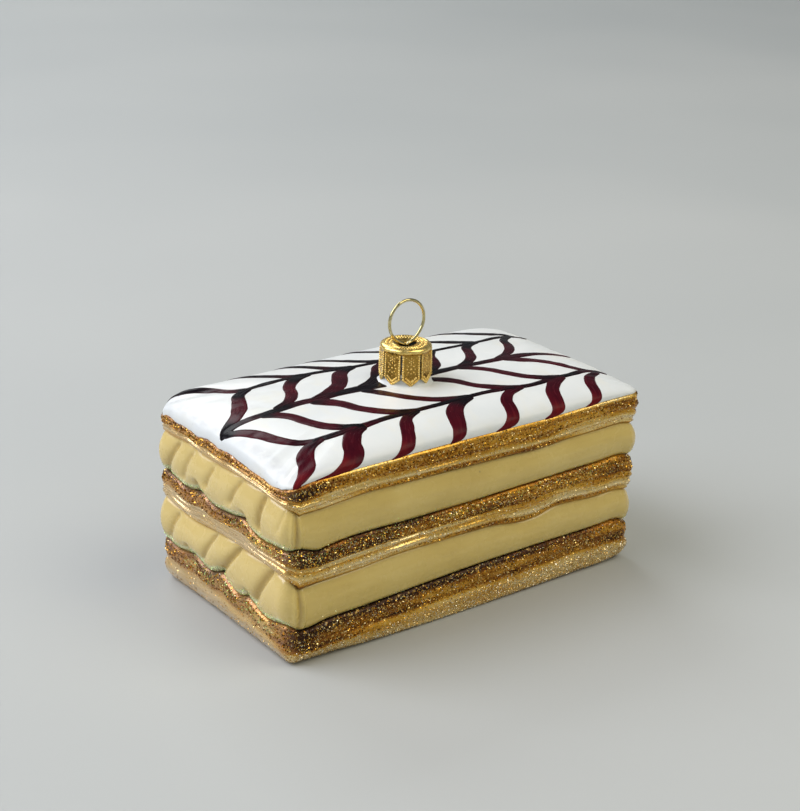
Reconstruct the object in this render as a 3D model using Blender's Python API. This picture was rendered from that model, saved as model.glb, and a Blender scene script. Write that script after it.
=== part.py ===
"""A blown-glass ornament in the form of an iced slice of layered pastry.

The slice is one glass body: three fluted pastry bands, two rolls of cream between
them, an icing top that domes up gently, and a short open neck in its middle. A
stamped crown cap sits over the neck, and a sprung wire ring passes through the
slot in the cap and grips the neck from inside.

Units are metres. The origin is the middle of the flat base. +X runs along the
slice, -Y is the front and +Z is up.
"""

import math

import bmesh
import bpy

MM = 0.001

# --- the slice ------------------------------------------------------------------
HALF_LENGTH = 48.5 * MM
HALF_WIDTH = 26.4 * MM
CORNER_RADIUS = 3.2 * MM
TOP_HEIGHT = 46.3 * MM          # crown of the icing
DOME_FALL_POWER = 3.0           # how far out the icing stays level
DOME_RIM_POWER = 4.0            # how round the icing's rim is
END_BULGE = 0.45 * MM           # how far the piped lobes stand out on the short ends
CREASE_DEPTH = 1.3 * MM
CREASE_WIDTH = 1.7 * MM
CREASE_LEAN = 0.75              # sideways run of a crease for each unit of height

# Where each band ends, in mm above the base, along half of the outline: first along
# a long side at FRONT_STATIONS, then along the short end that follows it at
# END_STATIONS. The other half of the outline is the same turned by half a turn.
FRONT_STATIONS = (-45, -30, -15, 0, 15, 30, 45)
END_STATIONS = (-25, -15, -5, 5, 15, 25)
BAND_TOPS = (
    ("bottom_pastry", (8.2, 8.9, 9.5, 10.1, 10.4, 10.4, 10.8, 10.1, 10.0, 9.7, 9.3, 8.6, 8.7)),
    ("lower_cream", (18.1, 18.2, 18.9, 18.8, 18.0, 18.7, 18.3, 19.8, 19.5, 20.0, 20.4, 20.4, 19.5)),
    ("middle_pastry", (26.0, 25.7, 26.0, 26.1, 26.4, 26.6, 26.8, 26.4, 26.0, 26.3, 26.4, 25.6, 26.0)),
    ("upper_cream", (34.9, 35.1, 35.2, 34.8, 34.2, 35.6, 35.4, 36.2, 36.6, 36.6, 36.4, 36.0, 35.3)),
    ("top_pastry", (40.9, 41.0, 41.1, 41.2, 41.2, 41.2, 40.8, 39.9, 40.1, 40.1, 39.9, 39.5, 40.0)),
)
# How far up the base's lower edge is rounded, in mm at the same stations: it is tight
# along the long sides and soft at the short ends and corners.
BASE_ROUNDING = (4.4, 2.2, 1.1, 1.0, 1.4, 2.0, 3.2, 4.6, 4.6, 4.6, 4.6, 4.6, 4.8)
BASE_INSET_LIMIT = 3.0 * MM
BASE_ARC = (0, 30, 60, 90)      # degrees along the lower edge's arc

# Each band's relief: (share of the band's height, mm out from the outline).
BOTTOM_PASTRY_RELIEF = ((0.42, 0.25), (0.56, -0.35), (0.76, 0.0), (0.92, -0.35))
MIDDLE_PASTRY_RELIEF = ((0.0, -1.1), (0.12, -0.2), (0.28, 0.05), (0.42, -0.4), (0.62, 0.25), (0.85, -0.35))
TOP_PASTRY_RELIEF = ((0.0, -1.0), (0.14, -0.1), (0.34, -0.35), (0.58, 0.25), (0.85, 0.1))
CREAM_RELIEF = ((0.0, -1.1), (0.09, -0.35), (0.28, 0.15), (0.55, 0.3), (0.82, 0.0), (0.94, -0.45))
BAND_RELIEFS = {
    "bottom_pastry": BOTTOM_PASTRY_RELIEF,
    "lower_cream": CREAM_RELIEF,
    "middle_pastry": MIDDLE_PASTRY_RELIEF,
    "upper_cream": CREAM_RELIEF,
    "top_pastry": TOP_PASTRY_RELIEF,
}
ICING_FOOT_OFFSET = -0.5 * MM
ICING_SCALES = (1.0, 0.985, 0.95, 0.88, 0.74, 0.5, 0.22)

# Middles of the creases between the piped lobes, in mm across a short end.
CREASES = {
    "lower_cream": (-20.0, -11.0, -5.5, 3.0, 15.5),
    "upper_cream": (-19.5, -13.5, -5.0, 5.5, 15.5),
}

FRONT_SEGMENTS = 14
END_SEGMENTS = 26
CORNER_SEGMENTS = 4

# --- the neck, the cap and the ring ------------------------------------------------
NECK_RADIUS = 5.0 * MM
NECK_BORE_RADIUS = 3.9 * MM
NECK_TOP = 54.1 * MM
NECK_BORE_FLOOR = 48.0 * MM
NECK_ROOT = 43.0 * MM
NECK_LIP = 0.3 * MM             # how round the neck's rim is
NECK_SEGMENTS = 32

PETALS = 8
PETAL_TURN = math.radians(21.0)     # direction of the first petal's middle
CAP_TOP = 55.1 * MM
CAP_FLAT_RADIUS = 5.64 * MM         # from the axis to the middle of a petal
CAP_SHEET = 0.35 * MM
CAP_DISC_RADII = (3.7 * MM, 4.9 * MM)
CAP_SLOT_DISH = -0.15 * MM          # how far the disc dips at the slot
# The rounded shoulder: (share of the skirt's radius, drop below the cap's top).
CAP_SHOULDER = ((0.955, -0.12 * MM), (0.99, -0.5 * MM))
PETAL_HALF_ANGLE = math.radians(20.4)
PETAL_SLOT_TOP = -1.3 * MM          # below the cap's top
PETAL_SHOULDER = -6.7 * MM
PETAL_TIP = -8.7 * MM
PETAL_CORNER = -7.0 * MM            # where a petal's sides end and its point begins
SLOT_HALF_LENGTH = 2.9 * MM
SLOT_HALF_WIDTH = 1.1 * MM

WIRE_RADIUS = 0.34 * MM
RING_RADIUS = 4.76 * MM
RING_CENTRE = CAP_TOP + 5.0 * MM
RING_DROP = 0.65 * MM               # how far the ring's foot is drawn down to the slot
RING_DROP_POWER = 6
LEG_HALF_GAP = 0.42 * MM
LEG_SPREAD = 3.2 * MM
LEG_FLOOR = 50.0 * MM
RING_STEPS = 44
LEG_STEPS = 5


def clear_scene():
    """Remove every object of the open file."""
    for item in list(bpy.data.objects):
        bpy.data.objects.remove(item, do_unlink=True)


def material(name, colour, roughness, metallic):
    """A plain Principled material."""
    made = bpy.data.materials.new(name)
    made.use_nodes = True
    shader = made.node_tree.nodes["Principled BSDF"]
    shader.inputs["Base Color"].default_value = (*colour, 1.0)
    shader.inputs["Roughness"].default_value = roughness
    shader.inputs["Metallic"].default_value = metallic
    made.diffuse_color = (*colour, 1.0)
    return made


def add_object(name, mesh, finish):
    """Put a mesh in the scene as a named object with its own material."""
    made = bpy.data.objects.new(name, mesh)
    bpy.context.scene.collection.objects.link(made)
    mesh.materials.append(finish)
    return made


def mesh_from_bmesh(name, shape, sharp_angle):
    """Turn a bmesh into a smooth-shaded mesh with faces pointing out."""
    bmesh.ops.recalc_face_normals(shape, faces=shape.faces)
    mesh = bpy.data.meshes.new(name)
    shape.to_mesh(mesh)
    shape.free()
    mesh.shade_smooth()
    mesh.set_sharp_from_angle(angle=sharp_angle)
    return mesh


def bridge(shape, lower, upper):
    """Join two closed rows of as many vertices with quads."""
    count = len(lower)
    for i in range(count):
        j = (i + 1) % count
        shape.faces.new((lower[i], lower[j], upper[j], upper[i]))


# --- the slice's outline -----------------------------------------------------------
def half_outline():
    """Points along a long side and the short end after it.

    Each is (x, y, normal x, normal y, place along the half, share of the end's lobes),
    where the place counts millimetres from the start of the long side.
    """
    straight_x = HALF_LENGTH - CORNER_RADIUS
    straight_y = HALF_WIDTH - CORNER_RADIUS
    arc = CORNER_RADIUS * math.pi / 2
    points = []
    for i in range(FRONT_SEGMENTS):
        x = -straight_x + 2 * straight_x * i / FRONT_SEGMENTS
        points.append((x, -HALF_WIDTH, 0.0, -1.0, x / MM, 0.0))
    for i in range(CORNER_SEGMENTS):
        turn = i / CORNER_SEGMENTS
        angle = -math.pi / 2 + turn * math.pi / 2
        nx, ny = math.cos(angle), math.sin(angle)
        place = (straight_x + arc * turn) / MM
        points.append((straight_x + CORNER_RADIUS * nx, -straight_y + CORNER_RADIUS * ny, nx, ny, place, turn))
    for i in range(END_SEGMENTS):
        y = -straight_y + 2 * straight_y * i / END_SEGMENTS
        place = (straight_x + arc + straight_y + y) / MM
        points.append((HALF_LENGTH, y, 1.0, 0.0, place, 1.0))
    for i in range(CORNER_SEGMENTS):
        turn = i / CORNER_SEGMENTS
        angle = turn * math.pi / 2
        nx, ny = math.cos(angle), math.sin(angle)
        place = (straight_x + arc + 2 * straight_y + arc * turn) / MM
        x, y = straight_x + CORNER_RADIUS * nx, straight_y + CORNER_RADIUS * ny
        points.append((x, y, nx, ny, place, 1 - turn))
    return points


def station_places():
    """Where the height stations lie along the half outline, in millimetres."""
    straight_x = (HALF_LENGTH - CORNER_RADIUS) / MM
    arc = CORNER_RADIUS * math.pi / 2 / MM
    straight_y = (HALF_WIDTH - CORNER_RADIUS) / MM
    end_middle = straight_x + arc + straight_y
    return [float(x) for x in FRONT_STATIONS] + [end_middle + y for y in END_STATIONS]


def smooth_step(share):
    """An ease from 0 to 1."""
    return share * share * (3 - 2 * share)


def height_at(heights, place):
    """A band's top, read smoothly between its stations, round the repeating half."""
    stations = station_places()
    half_length = 2 * (HALF_LENGTH + HALF_WIDTH - 2 * CORNER_RADIUS) / MM + CORNER_RADIUS * math.pi / MM
    start = stations[0]
    place = start + (place - start) % half_length
    knots = stations + [start + half_length]
    values = list(heights) + [heights[0]]
    for i in range(len(stations)):
        if place <= knots[i + 1]:
            share = (place - knots[i]) / (knots[i + 1] - knots[i])
            return (values[i] + (values[i + 1] - values[i]) * smooth_step(share)) * MM
    return values[0] * MM


def lobe_relief(band, y, share, place_in_band, band_height):
    """How far a short end's piped lobes move the cream's skin in or out."""
    if band not in CREASES or share == 0:
        return 0.0
    lean = CREASE_LEAN * (place_in_band - 0.5) * band_height
    crease = sum(math.exp(-((y - lean - c * MM) / CREASE_WIDTH) ** 2) for c in CREASES[band])
    swell = math.sin(math.pi * min(1.0, max(0.0, place_in_band)))
    return share * swell * (END_BULGE - CREASE_DEPTH * min(1.0, crease))


# --- the glass body ----------------------------------------------------------------
def wall_rows():
    """Rows of (x, y, z) up the slice's wall, from the base to the icing's foot."""
    half = half_outline()
    count = len(BASE_ARC) + sum(len(BAND_RELIEFS[band]) for band, _ in BAND_TOPS)
    rows = [[] for _ in range(count)]
    feet = []
    for side in (1, -1):
        for x, y, nx, ny, place, share in half:
            bottom = 0.0
            rounding = height_at(BASE_ROUNDING, place)
            inset = min(rounding, BASE_INSET_LIMIT)
            for row, degrees in enumerate(BASE_ARC):
                turn = math.radians(degrees)
                out = -inset * (1 - math.sin(turn))
                z = rounding * (1 - math.cos(turn))
                rows[row].append((side * (x + nx * out), side * (y + ny * out), z))
            row = len(BASE_ARC)
            for band, heights in BAND_TOPS:
                top = height_at(heights, place)
                for level, relief in BAND_RELIEFS[band]:
                    out = relief * MM + lobe_relief(band, y, share, level, top - bottom)
                    z = bottom + level * (top - bottom)
                    rows[row].append((side * (x + nx * out), side * (y + ny * out), z))
                    row += 1
                bottom = top
            feet.append((side * (x + nx * ICING_FOOT_OFFSET), side * (y + ny * ICING_FOOT_OFFSET), bottom))
    return rows, feet


def fall(x, y):
    """The dome's fall from its crown: 1 in the middle and 0 at the slice's sides."""
    return (1 - abs(x / HALF_LENGTH) ** DOME_FALL_POWER) * (1 - abs(y / HALF_WIDTH) ** DOME_FALL_POWER)


def dome_rise(x, y, scale):
    """How far the icing has risen, from 0 to 1, on the way in from its foot at (x, y)."""
    foot = fall(x, y)
    return ((fall(x * scale, y * scale) - foot) / (1 - foot)) ** (1 / DOME_RIM_POWER)


def icing_rows(feet):
    """Rows of the domed icing, from its foot in to its level middle."""
    rows = []
    for scale in ICING_SCALES:
        rows.append([(x * scale, y * scale, z + (TOP_HEIGHT - z) * dome_rise(x, y, scale)) for x, y, z in feet])
    return rows


def turned_solid(name, profile, segments):
    """A closed solid turned about Z from (radius, height) points that start and end on the axis."""
    shape = bmesh.new()
    first = shape.verts.new((0, 0, profile[0][1]))
    last = shape.verts.new((0, 0, profile[-1][1]))
    rows = []
    for radius, height in profile[1:-1]:
        angles = [2 * math.pi * i / segments for i in range(segments)]
        rows.append([shape.verts.new((radius * math.cos(a), radius * math.sin(a), height)) for a in angles])
    for lower, upper in zip(rows, rows[1:]):
        bridge(shape, lower, upper)
    for i in range(segments):
        j = (i + 1) % segments
        shape.faces.new((first, rows[0][j], rows[0][i]))
        shape.faces.new((last, rows[-1][i], rows[-1][j]))
    return mesh_from_bmesh(name, shape, math.radians(40))


def build_glass_body():
    """The slice with its neck: one glass solid."""
    rows, feet = wall_rows()
    shape = bmesh.new()
    made = [[shape.verts.new(point) for point in row] for row in rows + icing_rows(feet)]
    for lower, upper in zip(made, made[1:]):
        bridge(shape, lower, upper)
    shape.faces.new(list(reversed(made[0])))
    crown = shape.verts.new((0, 0, TOP_HEIGHT))
    for i, point in enumerate(made[-1]):
        shape.faces.new((point, made[-1][(i + 1) % len(made[-1])], crown))
    finish = material("cream_enamel", (0.72, 0.6, 0.34), 0.3, 0.0)
    body = add_object("glass_body", mesh_from_bmesh("glass_body", shape, math.radians(50)), finish)

    profile = (
        (0, NECK_ROOT),
        (NECK_RADIUS, NECK_ROOT),
        (NECK_RADIUS, NECK_TOP - NECK_LIP),
        (NECK_RADIUS - NECK_LIP, NECK_TOP),
        (NECK_BORE_RADIUS + NECK_LIP, NECK_TOP),
        (NECK_BORE_RADIUS, NECK_TOP - NECK_LIP),
        (NECK_BORE_RADIUS, NECK_BORE_FLOOR),
        (0, NECK_BORE_FLOOR),
    )
    neck = bpy.data.objects.new("neck_tool", turned_solid("neck_tool", profile, NECK_SEGMENTS))
    bpy.context.scene.collection.objects.link(neck)
    neck.hide_render = True
    neck.display_type = "WIRE"
    union = body.modifiers.new("neck", "BOOLEAN")
    union.operation = "UNION"
    union.solver = "EXACT"
    union.object = neck
    return body


# --- the crown cap -----------------------------------------------------------------
def petal_radius(local):
    """Radius of the eight-sided skirt at an angle from a petal's middle."""
    return CAP_FLAT_RADIUS / math.cos(local)


def slot_radius(angle):
    """Radius of the cap's long slot, which runs along X."""
    across = SLOT_HALF_WIDTH * math.cos(angle)
    along = SLOT_HALF_LENGTH * math.sin(angle)
    return SLOT_HALF_LENGTH * SLOT_HALF_WIDTH / math.hypot(across, along)


def build_cap():
    """The stamped crown cap: a slotted disc, a rounded shoulder and eight pointed petals."""
    shape = bmesh.new()
    half_pitch = math.pi / PETALS
    across = (-PETAL_HALF_ANGLE, -PETAL_HALF_ANGLE / 2, 0.0, PETAL_HALF_ANGLE / 2, PETAL_HALF_ANGLE)
    columns = [(petal, local) for petal in range(PETALS) for local in (-half_pitch, *across)]
    rows = []
    for petal, local in columns:
        angle = PETAL_TURN + 2 * half_pitch * petal + local
        skirt = petal_radius(local)
        column = [(slot_radius(angle), CAP_SLOT_DISH)]
        column += [(radius, 0.0) for radius in CAP_DISC_RADII]
        column += [(share * skirt, drop) for share, drop in CAP_SHOULDER]
        column.append((skirt, PETAL_SLOT_TOP))
        if abs(local) < half_pitch:
            edge = abs(local) / PETAL_HALF_ANGLE
            tip = PETAL_TIP + (PETAL_CORNER - PETAL_TIP) * edge
            column += [(skirt, PETAL_SHOULDER), (skirt, tip)]
        place = [(r * math.cos(angle), r * math.sin(angle), CAP_TOP + drop) for r, drop in column]
        rows.append([shape.verts.new(point) for point in place])
    for left, right in zip(rows, rows[1:] + rows[:1]):
        for low in range(min(len(left), len(right)) - 1):
            shape.faces.new((left[low], left[low + 1], right[low + 1], right[low]))
    finish = material("cap_gold", (0.72, 0.46, 0.12), 0.25, 1.0)
    cap = add_object("cap", mesh_from_bmesh("cap", shape, math.radians(35)), finish)
    sheet = cap.modifiers.new("sheet", "SOLIDIFY")
    sheet.thickness = CAP_SHEET
    sheet.offset = -1.0
    return cap


# --- the wire ring -----------------------------------------------------------------
def ring_path():
    """Points from one leg's tip, up and round the ring, to the other leg's tip."""
    start = math.asin(LEG_HALF_GAP / RING_RADIUS)
    foot = RING_CENTRE - RING_RADIUS - RING_DROP
    leg = []
    for i in range(LEG_STEPS):
        share = i / LEG_STEPS
        x = LEG_SPREAD + (LEG_HALF_GAP - LEG_SPREAD) * math.sin(share * math.pi / 2)
        leg.append((x, LEG_FLOOR + (foot - LEG_FLOOR) * share))
    loop = []
    for i in range(RING_STEPS + 1):
        angle = start + (2 * math.pi - 2 * start) * i / RING_STEPS
        drop = RING_DROP * max(0.0, math.cos(angle)) ** RING_DROP_POWER
        loop.append((RING_RADIUS * math.sin(angle), RING_CENTRE - RING_RADIUS * math.cos(angle) - drop))
    other_leg = [(-x, z) for x, z in reversed(leg)]
    return [(x, 0.0, z) for x, z in leg + loop + other_leg]


def build_ring():
    """The round hanging loop, whose two legs turn down through the slot and spread in the neck."""
    curve = bpy.data.curves.new("ring", "CURVE")
    curve.dimensions = "3D"
    curve.bevel_depth = WIRE_RADIUS
    curve.bevel_resolution = 2
    curve.use_fill_caps = True
    points = ring_path()
    spline = curve.splines.new("POLY")
    spline.points.add(len(points) - 1)
    for slot, point in zip(spline.points, points):
        slot.co = (*point, 1.0)
    return add_object("ring", curve, material("ring_wire", (0.72, 0.66, 0.42), 0.2, 1.0))


def main():
    clear_scene()
    build_glass_body()
    build_cap()
    build_ring()


main()
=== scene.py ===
"""The finish of a blown-glass ornament in the form of an iced slice of layered pastry.

The glass body is five painted bands and a domed icing, feathered with raised lacquer
strokes and dusted with glitter. A stamped crown cap and a wire ring stand on it.

Units are metres. The origin is the middle of the flat base. +X runs along the slice,
-Y is the front and +Z is up. Lists in millimetres say so and are scaled by MM.
"""

import math

import bpy
import numpy as np
from mathutils import Matrix, Vector


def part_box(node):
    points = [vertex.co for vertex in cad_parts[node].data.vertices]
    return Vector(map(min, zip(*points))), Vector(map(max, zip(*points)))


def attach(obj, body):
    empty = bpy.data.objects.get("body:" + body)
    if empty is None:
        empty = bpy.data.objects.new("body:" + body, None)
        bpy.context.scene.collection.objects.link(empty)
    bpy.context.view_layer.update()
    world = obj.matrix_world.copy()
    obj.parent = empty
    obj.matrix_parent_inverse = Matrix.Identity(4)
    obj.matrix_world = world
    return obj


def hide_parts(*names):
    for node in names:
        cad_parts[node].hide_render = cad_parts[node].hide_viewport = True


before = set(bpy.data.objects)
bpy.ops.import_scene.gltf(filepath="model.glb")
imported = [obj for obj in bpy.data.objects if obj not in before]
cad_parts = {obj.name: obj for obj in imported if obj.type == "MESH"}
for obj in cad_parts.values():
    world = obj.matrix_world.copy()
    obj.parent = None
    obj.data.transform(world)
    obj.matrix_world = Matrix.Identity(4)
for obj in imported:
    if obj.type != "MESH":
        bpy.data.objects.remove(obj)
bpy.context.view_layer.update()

BODY = "root"
MM = 0.001

# --- the slice, as in the CAD model --------------------------------------------------
HALF_LENGTH = 48.5 * MM
HALF_WIDTH = 26.4 * MM
CORNER_RADIUS = 3.2 * MM
TOP_HEIGHT = 46.3 * MM
DOME_FALL_POWER = 3.0
DOME_RIM_POWER = 4.0
FRONT_RIM_EASE = 1.5            # how much less round the icing's front rim is
ICING_FOOT_OFFSET = -0.2 * MM

STRAIGHT_X = HALF_LENGTH - CORNER_RADIUS
STRAIGHT_Y = HALF_WIDTH - CORNER_RADIUS
CORNER_ARC = CORNER_RADIUS * math.pi / 2
HALF_LOOP = 2 * (STRAIGHT_X + STRAIGHT_Y + CORNER_ARC)
LOOP = 2 * HALF_LOOP
END_MIDDLE = 2 * STRAIGHT_X + CORNER_ARC + STRAIGHT_Y
# Places round the outline of the middles of three upright corners.
NEAR_LEFT = LOOP - CORNER_ARC / 2
NEAR_RIGHT = 2 * STRAIGHT_X + CORNER_ARC / 2
FAR_LEFT = HALF_LOOP + NEAR_RIGHT

COLUMN_STEP = 0.5 * MM
FINE_COLUMNS = 2.4              # how many times closer the columns are at the near left corner
WALL = 1.2 * MM                 # thickness of the bands' closed shells

# The top edge of each band, in mm: (along the front long side, height) pairs, then
# (across the left end from the back, height) pairs and (across the right end from the
# front, height) pairs. The back long side is the front turned by half a turn.
BAND_TOPS = {
    "bottom_pastry": (
        ((-45, 8.1), (-38, 8.7), (-30, 8.9), (-15, 9.5), (0, 10.1), (15, 10.4), (30, 10.4), (38, 10.5), (43, 10.7)),
        ((-25, 10.3), (-20, 9.8), (-14, 10.3), (-11, 11.2), (-8, 10.2), (-4, 9.9), (0, 11.2), (3, 10.0),
         (7, 8.9), (10, 9.9), (14, 8.8), (18, 8.1), (25, 9.3)),
        ((-24, 9.2), (-20, 9.6), (-8, 10.2), (4, 9.6), (16, 9.0), (25, 8.8)),
    ),
    "lower_cream": (
        ((-45, 18.2), (-40, 18.1), (-30, 18.4), (-24, 18.8), (-15, 19.0), (0, 18.9), (8, 18.6), (13, 17.8),
         (19, 17.9), (24, 18.9), (30, 18.7), (36, 18.2), (43, 18.3)),
        ((-25, 20.6), (-19, 19.7), (-10, 19.4), (-5, 20.0), (0, 20.6), (10, 20.6), (20, 20.3), (25, 19.7)),
        ((-24, 17.4), (-19, 18.2), (-8, 19.4), (4, 19.8), (16, 19.6), (25, 18.6)),
    ),
    "middle_pastry": (
        ((-45, 26.5), (-43, 25.8), (-41, 25.2), (-38, 25.6), (-35, 25.9), (-15, 26.0), (0, 26.1), (15, 26.4),
         (30, 26.7), (37, 26.8), (43, 27.1)),
        ((-25, 26.8), (-20, 26.8), (-15, 26.1), (-11, 26.5), (-8, 27.3), (-4, 26.1), (4, 26.6), (9, 27.3),
         (13, 25.8), (17, 25.4), (20, 25.8), (25, 26.3)),
        ((-24, 25.9), (-19, 26.2), (-8, 26.6), (4, 26.2), (16, 26.7), (25, 26.2)),
    ),
    "upper_cream": (
        ((-45, 34.7), (-35, 34.9), (-30, 35.3), (-20, 35.1), (0, 34.8), (10, 34.6), (18, 34.3), (22, 34.5),
         (26, 34.8), (32, 34.9), (38, 35.0), (43, 35.0)),
        ((-25, 36.4), (-20, 36.4), (-13, 36.9), (-8, 36.4), (0, 36.4), (5, 36.6), (13, 36.5), (20, 36.1),
         (25, 35.7)),
        ((-24, 33.9), (-19, 34.6), (-8, 35.8), (4, 36.2), (16, 35.8), (25, 35.0)),
    ),
    "top_pastry": (
        ((-45, 41.0), (-37, 41.4), (-25, 41.5), (-10, 41.6), (4, 41.5), (20, 41.4), (34, 41.8), (44, 41.9)),
        ((-25, 39.7), (-22, 40.7), (-18, 40.3), (-14, 40.5), (-9, 40.1), (-5, 40.8), (0, 40.3), (3, 40.7),
         (8, 40.1), (15, 39.8), (21, 39.4), (25, 40.2)),
        ((-24, 41.8), (-21, 41.5), (-12, 40.6), (0, 40.2), (12, 40.3), (25, 40.6)),
    ),
}
BAND_ORDER = ("bottom_pastry", "lower_cream", "middle_pastry", "upper_cream", "top_pastry")

# Each band's section: (share of the band's height, mm out from the outline).
SECTIONS = {
    "bottom_pastry": ((0.0, 0.0), (0.2, 0.12), (0.42, 0.25), (0.54, -0.3), (0.64, -0.2), (0.76, 0.12),
                      (0.86, -0.05), (0.94, -0.3), (1.0, -1.1)),
    "lower_cream": ((0.0, -1.2), (0.07, -0.45), (0.22, 0.15), (0.45, 0.45), (0.66, 0.28), (0.84, -0.25), (0.94, -0.65),
                    (1.0, -1.1)),
    "middle_pastry": ((0.0, -1.1), (0.06, -0.4), (0.12, -0.35), (0.22, 0.2), (0.28, 0.1), (0.36, -0.35), (0.45, 0.0),
                      (0.53, -0.4), (0.66, 0.3), (0.84, 0.0), (0.94, -0.4), (1.0, -1.1)),
    "upper_cream": ((0.0, -1.2), (0.07, -0.45), (0.22, 0.15), (0.45, 0.45), (0.66, 0.28), (0.84, -0.25), (0.94, -0.65),
                    (1.0, -1.0)),
    "top_pastry": ((0.0, -1.0), (0.07, -0.3), (0.15, -0.4), (0.3, 0.15), (0.43, -0.3), (0.62, 0.3), (0.74, 0.05),
                   (0.84, 0.2), (0.94, 0.15), (1.0, -0.35)),
}
SECTION_WANDER = 0.035          # how far the flutes wander, as a share of the height

# Single swellings and hollows of the skin: (band, place round the outline, share of the
# height, mm out, mm of spread along, share of spread up).
SWELLS = (
    ("middle_pastry", NEAR_RIGHT, 0.48, 0.7, 3.5, 0.16), ("top_pastry", NEAR_RIGHT, 0.54, 0.45, 3.5, 0.2),
    ("bottom_pastry", NEAR_RIGHT, 0.45, 0.35, 3.5, 0.2), ("lower_cream", NEAR_RIGHT, 0.5, -0.2, 4, 0.4),
    ("top_pastry", FAR_LEFT, 0.45, -0.5, 3.5, 0.3), ("bottom_pastry", FAR_LEFT, 0.6, -0.5, 4, 0.4),
    ("lower_cream", 1.7 * MM, 0.5, -0.12, 1.5, 0.4), ("upper_cream", 1.0 * MM, 0.5, -0.12, 1.5, 0.4),
)
# The moulding seams at the near left corner of each cream: (mm from the corner's front
# end, mm out, mm wide).
SEAMS = {
    "lower_cream": ((-1.4, 0.4, 0.38), (-0.4, -0.5, 0.45), (0.6, 0.42, 0.38)),
    "upper_cream": ((-2.1, 0.36, 0.38), (-1.2, -0.5, 0.45), (-0.3, 0.42, 0.38)),
}

NOTCHES = {"upper_cream": 0.7, "lower_cream": 0.8}      # mm deep

# How far up the lower edge is rounded, in mm, at the same sort of places as the tops.
BASE_ROUNDING = (
    ((-45, 4.4), (-30, 2.2), (-15, 1.1), (0, 1.0), (15, 1.4), (30, 2.0), (45, 3.2)),
    ((-25, 4.6), (25, 4.8)),
)
BASE_INSET_LIMIT = 3.0 * MM

# Creases between the piped lobes of the short ends: mm across the end at the crease's
# foot and head, the shares of the height where it starts and ends, mm deep and mm wide.
CREASES = {
    "lower_cream": (
        (-21.8, -17.6, 0.1, 0.95, 0.9, 1.7), (-14.5, -12.0, 0.0, 0.32, 1.0, 1.4), (-8.6, -1.8, 0.12, 0.98, 0.95, 1.3),
        (-0.6, 7.4, -0.1, 1.0, 1.35, 1.3), (10.2, 12.2, -0.1, 0.25, 0.9, 1.3), (12.6, 19.4, 0.12, 1.0, 1.4, 1.5),
    ),
    "upper_cream": (
        (-22.6, -16.8, 0.0, 0.95, 1.1, 1.6), (-15.8, -10.8, 0.2, 0.95, 0.75, 1.5), (-9.8, -8.2, -0.1, 0.34, 1.1, 1.3),
        (-6.6, -2.4, 0.35, 0.95, 0.8, 1.1), (2.8, 8.4, 0.3, 0.98, 0.85, 1.2), (9.2, 11.8, -0.1, 0.3, 1.0, 1.3),
        (14.8, 16.8, 0.22, 0.98, 1.25, 1.2), (22.2, 24.4, 0.45, 0.95, 0.35, 0.9),
    ),
}
END_BULGE = 0.45 * MM

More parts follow.
